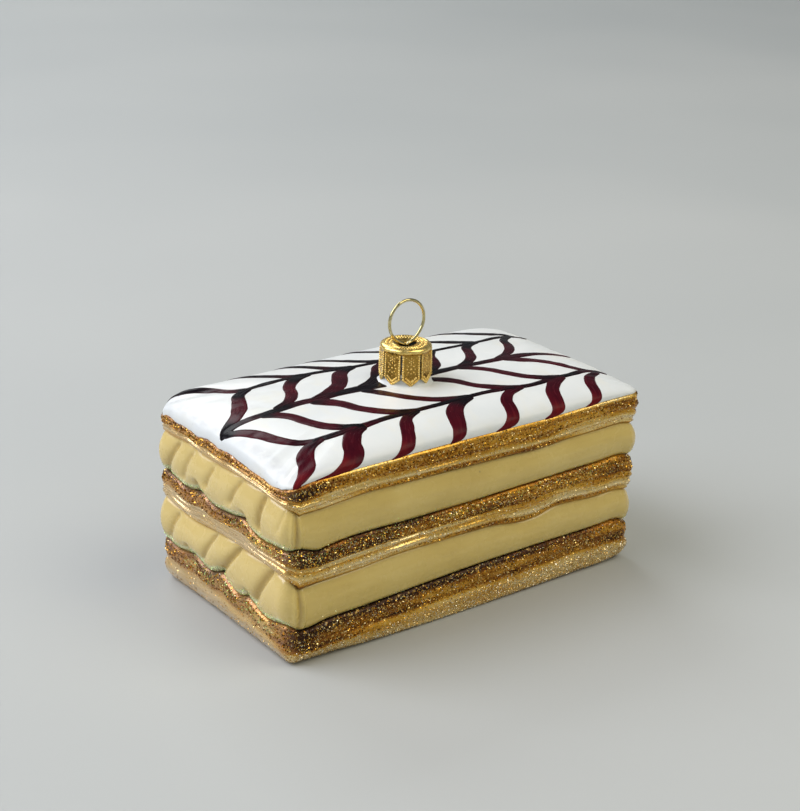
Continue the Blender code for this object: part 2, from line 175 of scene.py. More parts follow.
# How brown each pastry band is, from 0, champagne, to 1, nearly black: the columns are
# places in mm on the front long side and then across the short end, and each row
# starts with a share of the band's height.
TOAST_FRONT = (-45, -38, -25, -10, 5, 20, 32, 45)
TOAST_END = (-24, -10, 5, 20)
TOAST = {
    "bottom_pastry": (
        (0.00, (0.25, 0.25, 0.22, 0.2, 0.2, 0.25, 0.25, 0.2, 0.35, 0.35, 0.35, 0.4)),
        (0.12, (0.2, 0.15, 0.2, 0.25, 0.2, 0.2, 0.2, 0.15, 0.1, 0.1, 0.15, 0.15)),
        (0.30, (0.3, 0.25, 0.35, 0.3, 0.25, 0.2, 0.15, 0.1, 0.05, 0.05, 0.05, 0.1)),
        (0.44, (0.8, 0.9, 0.5, 0.35, 0.3, 0.25, 0.25, 0.2, 0.15, 0.05, 0.05, 0.2)),
        (0.56, (1, 0.8, 0.95, 0.85, 0.8, 0.75, 0.55, 0.7, 0.35, 0.3, 0.3, 0.5)),
        (0.68, (1, 0.75, 0.7, 0.45, 0.45, 0.65, 0.65, 0.8, 0.64, 0.59, 0.54, 0.48)),
        (0.80, (1, 0.9, 0.8, 0.7, 0.65, 0.65, 0.7, 0.65, 0.59, 0.49, 0.59, 0.43)),
        (0.93, (1, 1, 1, 1, 0.95, 0.9, 0.75, 0.8, 0.9, 0.85, 0.85, 0.6)),
    ),
    "middle_pastry": (
        (0.02, (0.75, 0.6, 0.45, 0.6, 0.7, 0.6, 0.45, 0.45, 0.5, 0.4, 0.35, 0.4)),
        (0.12, (0.3, 0.1, 0.1, 0.55, 0.7, 0.6, 0.5, 0.35, 0.15, 0.15, 0.1, 0.2)),
        (0.24, (0.2, 0.0, 0.0, 0.15, 0.25, 0.05, 0.0, 0.05, 0.1, 0.1, 0.1, 0.1)),
        (0.38, (0.45, 0.5, 0.4, 0.4, 0.35, 0.25, 0.3, 0.45, 0.15, 0.1, 0.15, 0.2)),
        (0.50, (0.2, 0.05, 0.1, 0.1, 0.35, 0.4, 0.5, 0.6, 0.1, 0.1, 0.05, 0.05)),
        (0.58, (1, 1, 0.95, 0.85, 0.85, 0.7, 0.7, 0.85, 0.45, 0.5, 0.45, 0.4)),
        (0.74, (1, 0.85, 0.85, 0.75, 0.75, 0.75, 0.7, 0.8, 0.59, 0.54, 0.64, 0.43)),
        (0.94, (1, 1, 0.95, 0.75, 0.65, 0.6, 0.65, 0.8, 0.9, 0.85, 0.85, 0.6)),
    ),
    "top_pastry": (
        (0.02, (0.7, 0.55, 0.7, 0.75, 0.75, 0.75, 0.5, 0.5, 0.44, 0.39, 0.5, 0.5)),
        (0.11, (0.2, 0.1, 0.5, 0.65, 0.65, 0.65, 0.3, 0.2, 0.25, 0.2, 0.15, 0.15)),
        (0.28, (0.1, 0.1, 0.05, 0.05, 0.1, 0.15, 0.2, 0.05, 0.05, 0.05, 0.1, 0.1)),
        (0.42, (0.4, 0.2, 0.25, 0.35, 0.5, 0.6, 0.35, 0.4, 0.3, 0.25, 0.2, 0.2)),
        (0.54, (0.95, 0.5, 0.5, 0.65, 0.65, 0.65, 0.5, 0.45, 0.44, 0.5, 0.45, 0.4)),
        (0.66, (1, 0.75, 0.65, 0.65, 0.6, 0.55, 0.55, 0.55, 0.59, 0.59, 0.54, 0.48)),
        (0.86, (0.95, 0.7, 0.6, 0.6, 0.6, 0.6, 0.65, 0.7, 0.54, 0.59, 0.54, 0.48)),
        # on the front this top row is paler than the row below it: a painted highlight on the lip under the icing
        (0.96, (0.7, 0.4, 0.3, 0.35, 0.4, 0.4, 0.35, 0.35, 0.69, 0.69, 0.64, 0.53)),
    ),
}

# The feathering. Each stroke is a list of (along X, across Y, width) in mm, measured over
# the icing's surface from its middle, so that it may run down over the rim.
STROKE_HEIGHT = 0.16 * MM
STROKE_STEP = 0.35 * MM
STROKE_SPREAD = 1.15             # how much wider the lacquer flows than it was drawn
LINE_PLACES = (-15.9, 0.3, 13.5)    # mm across, where the three long lines run
STROKES = (
    # the line along the middle, from the left rim to the right rim
    ((-49, -0.3, 1.5), (-47, 0, 2.0), (-45, 0.4, 1.7), (-41.5, 0.6, 1.7), (-37.5, 0.5, 1.8), (-33, 0.5, 2.0),
     (-28, 0.9, 2.2), (-23.5, 0.6, 2.4), (-18.5, 1, 2.5), (-13.5, 0.9, 2.6), (-9, 0.4, 3.0), (-4, 0, 2.8),
     (4, -0.4, 2.2), (10, 0, 2.0), (16, 0, 1.9), (22, -0.4, 1.8), (28, -0.5, 1.9), (34.5, -0.5, 2.2),
     (38, -1, 1.8), (42.5, -2.6, 1.4), (46.2, -4.4, 0.9)),
    # the front line and the back line
    ((-36, -16.1, 1.6), (-30.5, -16.5, 1.8), (-25, -16.6, 1.9), (-18.5, -16, 1.5), (-11.5, -15.9, 1.5),
     (-3.5, -15.8, 1.4), (4.5, -15.5, 1.4), (10, -15.5, 1.3), (16, -16.1, 1.4), (22, -17, 1.3), (28.5, -16.6, 1.4),
     (35, -16, 1.4), (41, -15.2, 1.4), (44, -15.6, 1.2), (46.5, -16.8, 0.8)),
    ((-34.5, 14.4, 1.5), (-30.5, 15.3, 1.4), (-25, 15.2, 1.3), (-19.5, 15.1, 1.4), (-13.5, 14.8, 1.4),
     (-8.5, 13.7, 1.3), (-4, 13, 1.3), (2, 12.6, 1.2), (8, 12.4, 1.2), (16, 12.1, 1.2), (22, 12, 1.2),
     (27.5, 12.1, 1.3), (33, 12.6, 1.2), (38, 13.5, 1.3), (42.5, 13.4, 1.2), (46.3, 11.6, 0.8)),
    # from the middle line to the front line
    ((-48, -0.2, 1.6), (-45.5, -2.8, 2.2), (-43.2, -6.5, 2.6), (-41.5, -11, 2.4), (-39, -14.5, 2.0),
     (-34.5, -16.4, 1.4)),
    ((-38.5, 0, 1.2), (-35.5, -1.4, 2.4), (-33.4, -4, 2.6), (-32.1, -8, 2.5), (-30.5, -11.5, 2.6),
     (-28, -14.2, 2.4), (-23, -16.5, 1.4)),
    ((-26, -0.6, 1.5), (-23, -1.8, 3.2), (-20.6, -4.5, 2.8), (-19, -8.5, 2.6), (-16.5, -12, 2.6),
     (-13, -14.7, 2.4), (-8, -16, 1.4)),
    ((-12.5, -0.3, 1.5), (-10.4, -2.4, 2.4), (-8.5, -5.5, 2.2), (-6, -9.4, 2.2), (-2.5, -12.7, 2.2),
     (1.5, -14.6, 2.3), (6.8, -15.6, 1.3)),
    ((1.5, -1.2, 1.6), (4, -2.6, 2.2), (6.6, -4.3, 2.4), (9, -7, 2.3), (10.5, -10.4, 2.2), (13, -13.2, 2.2),
     (16, -15.4, 2.2), (20.8, -17, 1.2)),
    ((14.5, -0.3, 1.2), (17.5, -2.1, 2.0), (20.5, -5.4, 2.2), (22.5, -9.4, 2.2), (25, -12.9, 2.2),
     (28, -15, 2.1), (33, -16.2, 1.2)),
    ((27.5, -0.6, 1.6), (31, -2.8, 2.6), (34.8, -5.6, 2.2), (37.4, -9, 2.0), (39.1, -12, 1.9), (41, -14.4, 1.8),
     (44.5, -16.4, 1.2)),
    # from the front line down over the front rim
    ((-33.5, -16.2, 1.5), (-37.8, -17.6, 2.4), (-40.4, -20, 3.1), (-42, -23, 3.0), (-44.6, -25.4, 2.5),
     (-47, -27.2, 1.9), (-48.4, -29.4, 1.4)),
    ((-23, -16.8, 1.4), (-27, -18.2, 3.0), (-29.5, -21, 3.7), (-31, -24, 3.6), (-33.5, -26.4, 3.2),
     (-37, -27.7, 2.0), (-42, -28.4, 0.6)),
    ((-8.5, -16, 1.4), (-13, -18, 2.2), (-15.5, -21.4, 2.8), (-17, -24, 2.8), (-18.5, -26, 2.5),
     (-20.5, -27.5, 1.8), (-23, -28.6, 0.6)),
    ((6.5, -15.8, 1.4), (1, -17.6, 2.8), (-2, -20.5, 3.4), (-3.5, -23.5, 3.3), (-4.5, -25.7, 2.8),
     (-5.7, -27.2, 2.2), (-7.4, -28.6, 0.8)),
    ((20.2, -16.9, 1.2), (15, -18.2, 2.2), (12.5, -20.6, 2.6), (11.5, -23.4, 2.7), (10.5, -25.5, 2.6),
     (8.5, -27.2, 2.0), (5, -28.4, 0.6)),
    ((33, -16.4, 1.4), (27.8, -18.8, 2.6), (25.2, -21.6, 3.0), (24, -24.4, 3.1), (23.4, -26, 3.0),
     (22, -27.4, 2.2), (19, -28.5, 0.8)),
    ((43.8, -16.4, 1.2), (39.2, -18.5, 2.0), (37, -21.2, 2.4), (35.8, -24.3, 2.5), (35, -26, 2.4),
     (33.8, -27.5, 2.0), (31.2, -28.5, 0.6)),
    # from the back line to the middle line
    ((-31.5, 15, 1.4), (-35.6, 13, 2.4), (-37.5, 9.8, 3.0), (-39.5, 6.5, 3.0), (-42.5, 3.3, 2.6), (-45.5, 1.4, 2.2),
     (-48.3, -0.2, 1.8)),
    ((-15.5, 14.9, 1.4), (-21.4, 13, 2.6), (-24.4, 10, 2.6), (-26, 6.6, 2.6), (-28.6, 3.5, 2.2), (-34, 1.2, 1.2)),
    ((-4.5, 13.1, 1.4), (-10, 11, 2.8), (-12.2, 8, 3.2), (-14.5, 5.1, 3.2), (-18.5, 2.8, 2.6), (-24.5, 1, 1.2)),
    ((6.5, 12.3, 1.3), (0, 9.6, 2.8), (-2.5, 6.6, 3.2), (-4.5, 4.2, 3.0), (-8, 2.4, 2.4), (-13, 1, 1.2)),
    ((17.5, 12.1, 1.2), (14.2, 9.2, 2.4), (13, 6.4, 2.6), (11.5, 4, 2.6), (8.5, 1.7, 2.2), (3.5, 0, 1.2)),
    ((31, 12.4, 1.2), (25.8, 10, 2.0), (24, 6.8, 2.2), (22.4, 4.1, 2.2), (20, 2, 2.0), (15.5, 0.3, 1.0)),
    ((42.4, 13.7, 1.2), (38, 10.7, 1.8), (36.4, 7.2, 2.2), (34.4, 4.3, 2.2), (31.5, 2, 1.9), (26.5, 0, 1.0)),
    # from the back rim to the back line
    ((-49, 29, 0.6), (-46, 27.6, 1.2), (-43.5, 26, 1.4), (-40.4, 23.7, 1.7), (-37.6, 20.2, 2.2), (-35, 16.4, 2.4),
     (-31.5, 15.1, 1.4)),
    ((-34, 28.6, 0.6), (-31, 27, 1.4), (-28.5, 24.3, 1.8), (-25.5, 21, 1.8), (-22.5, 18, 2.0), (-20, 15.8, 2.2),
     (-15.5, 14.9, 1.4)),
    ((-20.5, 28.6, 0.6), (-18.5, 26.6, 1.6), (-16.5, 24, 1.8), (-14, 20.8, 1.8), (-11.5, 17.5, 2.0),
     (-9, 14.7, 2.2), (-4.5, 13.1, 1.4)),
    ((-12.5, 28.6, 0.6), (-10.5, 26.6, 1.3), (-8.8, 24, 1.4), (-6.4, 20.8, 1.4), (-3.5, 17.5, 1.6),
     (-0.3, 14.5, 1.7), (4.5, 12.5, 1.2)),
    ((-1.5, 28.6, 0.6), (0.5, 26.6, 1.3), (2.4, 24, 1.4), (5, 20.6, 1.4), (8.5, 17.6, 1.6), (12, 14.6, 1.8),
     (17.5, 12, 1.2)),
    ((11.5, 28.6, 0.6), (13.8, 26.2, 1.4), (16.4, 23, 1.5), (19, 20.2, 1.5), (22, 17.8, 1.7), (25, 15.4, 2.0),
     (30.8, 12.3, 1.2)),
    ((24, 28.6, 0.6), (26.4, 26.4, 1.4), (29, 23.8, 1.5), (31.8, 21.2, 1.6), (34.8, 19, 1.8), (38.4, 17, 2.0),
     (41.3, 15.8, 1.8), (44, 12.6, 1.2)),
)

# The hanging fittings, in mm. Heights of the cap are measured down from its top.
PETALS = 8
PETAL_TURN = math.radians(21.0)
CAP_FLAT_RADIUS = 5.64
CAP_ROUND_RADIUS = 5.78         # of the round top of the shoulder
PETAL_HALF_WIDTH = 2.06
PETAL_CORNER = -7.0
PETAL_TIP = -8.7
CAP_SHEET = 0.3
SLOT_HALF_LENGTH = 2.9
SLOT_HALF_WIDTH = 1.05
# The stamped disc and its shoulder: (radius or, past the disc, share of the skirt, height).
DISC_SECTION = ((2.45, -0.14), (2.7, -0.14), (2.85, -0.02), (3.0, 0.03), (3.12, -0.06), (3.25, -0.14), (3.5, -0.14),
                (3.74, -0.14), (3.84, -0.02), (3.93, 0.03), (4.03, -0.06), (4.12, -0.14), (4.4, -0.14), (4.66, -0.13),
                (4.76, 0.0), (4.88, 0.03), (4.99, -0.02))
SHOULDER_SECTION = ((0.9, -0.06), (0.95, -0.16), (0.982, -0.36), (0.997, -0.58), (1.0, -0.82), (0.99, -0.98),
                    (0.963, -1.1), (0.95, -1.22))
FUNNEL_SECTION = ((0.0, -0.62), (0.35, -0.5), (0.75, -0.25))
BEAD_RINGS = ((4.39, 0.23, 44), (3.5, 0.21, 34))      # radius, size and count
BEAD_LENGTH = 1.5                # along the radius, of the rings' beads
BEAD_SIZE = 0.26
WIRE_RADIUS = 0.36
RING_RADIUS = 4.76
RING_RISE = 5.0                # the ring's middle, above the cap's top
RING_DROP = 0.65
RING_DROP_POWER = 6
LEG_HALF_GAP = 0.42
LEG_SPREAD = 3.2
LEG_DEPTH = 5.1
NECK_RADIUS = 5.0
NECK_BORE_RADIUS = 3.9
NECK_DROP = 1.0                 # from the cap's top to the neck's


# --- numbers -------------------------------------------------------------------------
def smooth_curve(knots, values, at, period=None):
    """A smooth curve through values at knots, read at places; with a period it repeats."""
    knots = np.asarray(knots, float)
    values = np.asarray(values, float)
    if period:
        at = knots[0] + (at - knots[0]) % period
        knots = np.concatenate((knots[-2:] - period, knots, knots[:3] + period))
        values = np.concatenate((values[-2:], values, values[:3]))
    slopes = np.gradient(values, knots, axis=0)
    i = np.clip(np.searchsorted(knots, at, side="right") - 1, 0, len(knots) - 2)
    span = knots[i + 1] - knots[i]
    t = np.clip((at - knots[i]) / span, 0, 1)
    if values.ndim > 1:
        t, span = t[..., None], span[..., None]
    rise = values[i + 1] - values[i]
    ease = t * t * (3 - 2 * t)
    early = t * (1 - t) ** 2
    late = t * t * (t - 1)
    return values[i] + rise * ease + span * (early * slopes[i] + late * slopes[i + 1])


def lattice(ix, iy, iz, seed):
    """A repeatable number from 0 to 1 for each whole-number place."""
    mixed = np.sin(ix * 127.1 + iy * 311.7 + iz * 74.7 + seed * 53.3) * 43758.5453
    return mixed - np.floor(mixed)


def noise(points, size, seed=0):
    """Smooth noise from -1 to 1 in cells of a size, at points of shape (..., 3)."""
    place = np.asarray(points) / size
    cell = np.floor(place)
    part = place - cell
    part = part * part * (3 - 2 * part)
    total = 0.0
    for dx in (0, 1):
        for dy in (0, 1):
            for dz in (0, 1):
                weight = 1.0
                for axis, step in enumerate((dx, dy, dz)):
                    weight = weight * (part[..., axis] if step else 1 - part[..., axis])
                corner = cell + (dx, dy, dz)
                total = total + weight * lattice(corner[..., 0], corner[..., 1], corner[..., 2], seed)
    return 2 * total - 1


def smooth_step(low, high, value):
    """An ease from 0 at low to 1 at high."""
    share = np.clip((value - low) / (high - low), 0, 1)
    return share * share * (3 - 2 * share)


# --- the slice's wall ----------------------------------------------------------------
def outline(s):
    """The outline at distances s along it, from the left end of the front long side.

    Returns x, y, the normal's x and y, and the distance along the repeating half.
    """
    side = np.where(s % LOOP < HALF_LOOP, 1.0, -1.0)
    q = s % HALF_LOOP
    first = np.clip((q - 2 * STRAIGHT_X) / CORNER_RADIUS, 0, math.pi / 2)
    second = np.clip((q - END_MIDDLE - STRAIGHT_Y) / CORNER_RADIUS, 0, math.pi / 2)
    turn = first + second - math.pi / 2
    nx, ny = np.cos(turn), np.sin(turn)
    x = np.clip(q - STRAIGHT_X, -STRAIGHT_X, STRAIGHT_X) + CORNER_RADIUS * nx
    y = np.clip(q - END_MIDDLE, -STRAIGHT_Y, STRAIGHT_Y) + CORNER_RADIUS * ny
    return side * x, side * y, side * nx, side * ny, q


def end_share(q):
    """1 on a short end and 0 on a long side, easing round the corners."""
    rising = smooth_step(2 * STRAIGHT_X, 2 * STRAIGHT_X + CORNER_ARC, q)
    falling = smooth_step(END_MIDDLE + STRAIGHT_Y, HALF_LOOP, q)
    return rising * (1 - falling)


def along_loop(lists, s):
    """Heights in metres from lists of (place, height) in mm: the front, the left end and,
    where it differs from the left end, the right end."""
    front, left, right = lists[0], lists[1], lists[-1]
    knots, values = [], []
    for start, end in ((0, right), (HALF_LOOP, left)):
        knots += [start + STRAIGHT_X + x * MM for x, _ in front] + [start + END_MIDDLE + y * MM for y, _ in end]
        values += [z * MM for _, z in front + end]
    return smooth_curve(knots, values, s, period=LOOP)


def off_from(s, place):
    """How far s is past a place round the outline, in mm, from minus to plus half the loop."""
    return ((s - place + HALF_LOOP) % LOOP - HALF_LOOP) / MM


def band_top(band, s):
    """The upper edge of a band, with a notch in the creams' at the near left corner."""
    notch = NOTCHES.get(band, 0.0) * MM * np.exp(-np.abs(off_from(s, 0.0) + 0.4) / 1.3)
    return along_loop(BAND_TOPS[band], s) - notch


def band_edges(band, s):
    """The lower and upper edge of a band."""
    index = BAND_ORDER.index(band)
    low = band_top(BAND_ORDER[index - 1], s) if index else np.zeros_like(s)
    return low, band_top(band, s)


def flat_points(x, y, z):
    """Points of shape (..., 3) from their coordinates."""
    return np.stack(np.broadcast_arrays(x, y, z), -1)


def crease_depth(band, q, level):
    """How deep the creases between the lobes are, in metres."""
    across = (q - END_MIDDLE) / MM
    total = np.zeros(np.broadcast(q, level).shape)
    for foot, head, start, stop, depth, width in CREASES.get(band, ()):
        offset = across - (foot + (head - foot) * level)
        spread = np.where(offset < 0, width * 1.35, width * 0.75)
        reach = smooth_step(start - 0.12, start + 0.1, level) * (1 - smooth_step(stop - 0.15, stop + 0.08, level))
        cut = 0.8 * np.exp(-(np.abs(offset / spread) ** 1.35)) + 0.4 * np.exp(-np.abs(offset) / 0.4)
        total = np.maximum(total, depth * reach * cut)
    return total * end_share(q) * MM


def band_relief(band, s, q, level):
    """How far the skin stands out from the outline."""
    around = flat_points(s, 0 * s, 0 * s)
    seed = BAND_ORDER.index(band)
    wander = SECTION_WANDER * (noise(around, 17 * MM, seed) + 0.5 * noise(around, 6 * MM, seed + 5))
    moved = np.clip(level + wander * np.sin(math.pi * np.clip(level, 0, 1)), 0, 1)
    knots, outs = zip(*SECTIONS[band])
    out = smooth_curve(knots, outs, moved) * MM
    for name, place, middle, rise, along, up in SWELLS:
        if name == band:
            out = out + rise * MM * np.exp(-((off_from(s, place) / along) ** 2) - ((level - middle) / up) ** 2)
    if band in CREASES:
        swell = np.sin(math.pi * np.clip(level, 0, 1)) ** 0.5
        lobes = END_BULGE * swell * end_share(q) - crease_depth(band, q, level)
        for place, rise, width in SEAMS[band]:
            lobes = lobes + rise * MM * swell * np.exp(-(((off_from(s, 0.0) - place) / width) ** 2))
        return out + lobes
    return out * (0.85 + 0.3 * noise(around, 9 * MM, seed + 9))


def wall_point(band, s, level):
    """Points of a band's skin at distances s along the outline and shares of its height."""
    s, level = np.broadcast_arrays(np.asarray(s, float), np.asarray(level, float))
    x, y, nx, ny, q = outline(s)
    low, high = band_edges(band, s)
    out = band_relief(band, s, q, level)
    z = low + (high - low) * level
    if band == "bottom_pastry":
        rounding = along_loop(BASE_ROUNDING, s)
        part = np.clip(1 - z / rounding, 0, 1)
        out = out - np.minimum(rounding, BASE_INSET_LIMIT) * (1 - np.sqrt(1 - part**2))
    return flat_points(x + nx * out, y + ny * out, z)


def crust(points, band):
    """Fine roughness of a pastry band's glittered skin."""
    coarse = 0.075 if band == "bottom_pastry" else 0.045
    return MM * (coarse * noise(points, 1.0 * MM, 3) + 0.035 * noise(points, 0.5 * MM, 4))


# --- meshes --------------------------------------------------------------------------
def grid_faces(rows, columns, wrap_rows=False):
    """Quads of a grid whose columns close into a loop."""
    row = np.arange(rows if wrap_rows else rows - 1)[:, None]
    column = np.arange(columns)[None, :]
    after_row = (row + 1) % rows
    after_column = (column + 1) % columns
    corners = (
        row * columns + column,
        row * columns + after_column,
        after_row * columns + after_column,
        after_row * columns + column,
    )
    return np.stack([np.broadcast_to(c, (len(row), columns)) for c in corners], -1).reshape(-1, 4)


def make_mesh(name, points, faces, attributes=None, smooth=True):
    """An object from points, lists of faces and number attributes of the points."""
    mesh = bpy.data.meshes.new(name)
    mesh.from_pydata(np.asarray(points).reshape(-1, 3).tolist(), [], faces)
    for key, values in (attributes or {}).items():
        made = mesh.attributes.new(key, "FLOAT", "POINT")
        made.data.foreach_set("value", np.asarray(values, np.float32).ravel())
    mesh.validate()
    mesh.update()
    if smooth:
        mesh.shade_smooth()
    made = bpy.data.objects.new(name, mesh)
    bpy.context.scene.collection.objects.link(made)
    return made


def finish_piece(piece, material, slot, *nodes):
    """Give a piece its material and its body, and hide the CAD nodes that it stands for. The slot is not used."""
    piece.data.materials.append(material)
    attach(piece, BODY)
    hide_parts(*nodes)
    return piece


# --- materials -----------------------------------------------------------------------
class Nodes:
    """A short way to build one material's node tree."""

    def __init__(self, name):
        self.material = bpy.data.materials.new(name)
        self.material.use_nodes = True
        self.tree = self.material.node_tree
        self.shader = self.tree.nodes["Principled BSDF"]

    def add(self, kind, **settings):
        node = self.tree.nodes.new(kind)
        for key, value in settings.items():
            setattr(node, key, value)
        return node

    def link(self, source, target):
        self.tree.links.new(source, target)

    def set(self, **values):
        """Constant values of the shader's sockets, named with _ for a space."""
        for key, value in values.items():
            self.shader.inputs[key.replace("_", " ")].default_value = value

    def feed(self, socket, source):
        """Link a source to one of the shader's sockets."""
        self.link(source, self.shader.inputs[socket])

    def attribute(self, name):
        return self.add("ShaderNodeAttribute", attribute_name=name).outputs["Fac"]

    def place(self, scale=(1, 1, 1)):
        """Object coordinates, stretched."""
        coordinates = self.add("ShaderNodeTexCoord").outputs["Object"]
        mapping = self.add("ShaderNodeMapping")
        mapping.inputs["Scale"].default_value = scale
        self.link(coordinates, mapping.inputs["Vector"])
        return mapping.outputs["Vector"]

    def noise(self, size, detail=2.0, vector=None, roughness=0.5):
        """Noise from 0 to 1 whose features are about a size across."""
        node = self.add("ShaderNodeTexNoise")
        node.inputs["Scale"].default_value = 1 / size
        node.inputs["Detail"].default_value = detail
        node.inputs["Roughness"].default_value = roughness
        self.link(vector or self.place(), node.inputs["Vector"])
        return node.outputs["Fac"]

    def cells(self, size, output="Distance", vector=None):
        node = self.add("ShaderNodeTexVoronoi")
        node.inputs["Scale"].default_value = 1 / size
        self.link(vector or self.place(), node.inputs["Vector"])
        return node.outputs[output]

    def math(self, operation, first, second=None, third=None):
        node = self.add("ShaderNodeMath", operation=operation)
        for socket, value in zip(node.inputs, (first, second, third)):
            if isinstance(value, (int, float)):
                socket.default_value = value
            elif value is not None:
                self.link(value, socket)
        return node.outputs[0]

    def fit(self, value, low, high, to_low=0.0, to_high=1.0):
        """Map a range of a value to another, clamped."""
        node = self.add("ShaderNodeMapRange", interpolation_type="SMOOTHSTEP")
        for key, number in zip(("From Min", "From Max", "To Min", "To Max"), (low, high, to_low, to_high)):
            node.inputs[key].default_value = number
        self.link(value, node.inputs["Value"])
        return node.outputs["Result"]

    def ramp(self, value, stops):
        """Colours along a value from 0 to 1."""
        node = self.add("ShaderNodeValToRGB")
        elements = node.color_ramp.elements
        while len(elements) < len(stops):
            elements.new(0.5)
        for element, (place, colour) in zip(elements, stops):
            element.position = place
            element.color = (*colour, 1.0)
        self.link(value, node.inputs["Fac"])
        return node.outputs["Color"]

    def mix(self, share, first, second, blend="MIX"):
        """Mix two colours, each a link or three numbers."""
        node = self.add("ShaderNodeMix", data_type="RGBA", blend_type=blend)
        sockets = [s for s in node.inputs if s.name in ("A", "B") and s.type == "RGBA"]
        for socket, value in zip(sockets, (first, second)):
            if isinstance(value, tuple):
                socket.default_value = (*value, 1.0)
            else:
                self.link(value, socket)
        if isinstance(share, (int, float)):
            node.inputs["Factor"].default_value = share
        else:
            self.link(share, node.inputs["Factor"])
        return next(s for s in node.outputs if s.type == "RGBA")

    def bump(self, height, depth, strength=1.0):
        """A fine relief that is depth metres deep."""
        node = self.add("ShaderNodeBump")
        node.inputs["Distance"].default_value = depth
        node.inputs["Strength"].default_value = strength
        self.link(height, node.inputs["Height"])
        self.feed("Normal", node.outputs["Normal"])


def cream_material():
    """Glossy custard-coloured enamel, brushed along the slice, paler and greener at its lower edge, with painted shade
    in its creases and seam grooves and a paler painted sheen on its short ends.
    """
    n = Nodes("cream_enamel")
    broad = n.noise(14 * MM, 2)
    brushed = n.noise(1.0 * MM, 3, n.place((0.12, 0.12, 1)))
    tone = n.math("ADD", n.math("MULTIPLY", broad, 0.6), n.math("MULTIPLY", brushed, 0.4))
    body = n.ramp(tone, ((0.3, (0.64, 0.46, 0.115)), (0.5, (0.70, 0.515, 0.14)), (0.72, (0.75, 0.57, 0.18))))
    # A paler, bluer tint on the short ends: painted sheen standing in for the window's glossy haze on the lit end
    lobes = n.mix(n.math("MULTIPLY", n.attribute("end"), 0.7), body, (0.74, 0.56, 0.215))
    # pooled: painted shade, darker where the crease attribute marks the lobes' creases and the seam grooves
    pooled = n.mix(n.fit(n.attribute("crease"), 0.15, 1.0, 0.0, 0.75), lobes, (0.48, 0.32, 0.08))
    edged = n.mix(n.attribute("edge"), pooled, (0.76, 0.78, 0.48))
    specks = n.fit(n.cells(6.5 * MM), 0.03, 0.06, 0.5, 0.0)
    n.feed("Base Color", n.mix(specks, edged, (0.25, 0.17, 0.06)))
    n.feed("Roughness", n.fit(n.noise(2.5 * MM, 3), 0.3, 0.7, 0.2, 0.32))
    n.set(Coat_Weight=0.5, Coat_Roughness=0.07)
    n.bump(n.math("ADD", broad, n.math("MULTIPLY", brushed, 0.25)), 0.05 * MM, 0.5)
    return n.material


def pastry_material():
    """Gold lacquer glitter, from champagne through amber to burnt brown, rosier and paler on the short ends, partly
    their paint and partly painted light.
    """
    n = Nodes("pastry_gilt")
    grain = n.noise(0.42 * MM, 2)
    patches = n.noise(2.4 * MM, 4, n.place((0.16, 0.22, 1)))
    wander = n.math("ADD", n.math("MULTIPLY", n.math("SUBTRACT", grain, 0.5), 0.45),
                    n.math("MULTIPLY", n.math("SUBTRACT", patches, 0.5), 0.95))
    toast = n.math("ADD", n.attribute("toast"), wander)
    colour = n.ramp(toast, (
        (0.0, (0.84, 0.65, 0.32)), (0.2, (0.80, 0.56, 0.18)), (0.4, (0.70, 0.38, 0.04)),
        (0.58, (0.50, 0.22, 0.012)), (0.76, (0.28, 0.10, 0.008)), (0.9, (0.11, 0.035, 0.005)),
        (1.0, (0.03, 0.01, 0.004)),
    ))
    # rosy: a paler, pinker tint on the short ends, partly their paint and partly painted light of the lit end
    rosy = n.mix(n.math("MULTIPLY", n.attribute("end"), 0.34), colour, (0.66, 0.42, 0.28))
    glint = n.fit(n.cells(0.45 * MM, "Color"), 0.78, 0.92, 0.0, 0.5)
    n.feed("Base Color", n.mix(glint, rosy, (0.88, 0.60, 0.20)))
    n.feed("Roughness", n.math("ADD", n.fit(n.attribute("toast"), 0.15, 0.6, 0.14, 0.32),
                               n.fit(grain, 0.3, 0.7, 0.0, 0.1)))
    n.feed("Coat Weight", n.fit(n.attribute("toast"), 0.1, 0.5, 0.5, 0.03))
    n.set(Metallic=0.7, Coat_Roughness=0.15)
    n.bump(n.math("ADD", grain, n.math("MULTIPLY", n.cells(0.35 * MM), 0.6)), 0.06 * MM, 0.6)
    return n.material


def icing_material():
    """Glossy white enamel with faint creamy and cool clouds, and a band of painted shade
    with dark flecks beside the left rim, where it turns down."""
    n = Nodes("icing_enamel")
    clouds = n.ramp(n.noise(9 * MM, 3), ((0.3, (0.755, 0.785, 0.785)), (0.7, (0.81, 0.83, 0.815))))
    creamy = n.mix(n.fit(n.noise(6 * MM, 3, n.place((1, 0.6, 1))), 0.5, 0.75, 0.0, 0.6), clouds, (0.80, 0.79, 0.71))
    # veil: painted shade beside the left rim, broken up by noise
    veil = n.math("MULTIPLY", n.attribute("rim"), n.fit(n.noise(2.4 * MM, 3), 0.35, 0.6))
    rim_shaded = n.mix(n.math("MULTIPLY", veil, 0.4), creamy, (0.55, 0.56, 0.60))
    flecks = n.math("MULTIPLY", n.attribute("rim"), n.fit(n.cells(2.6 * MM), 0.05, 0.13, 0.8, 0.0))
    n.feed("Base Color", n.mix(flecks, rim_shaded, (0.12, 0.11, 0.16)))
    n.feed("Roughness", n.fit(n.noise(3 * MM, 3), 0.3, 0.7, 0.3, 0.42))
    n.set(Specular_IOR_Level=0.4, Coat_Weight=0.08, Coat_Roughness=0.12)
    n.bump(n.noise(2.2 * MM, 2), 0.04 * MM, 0.4)
    return n.material


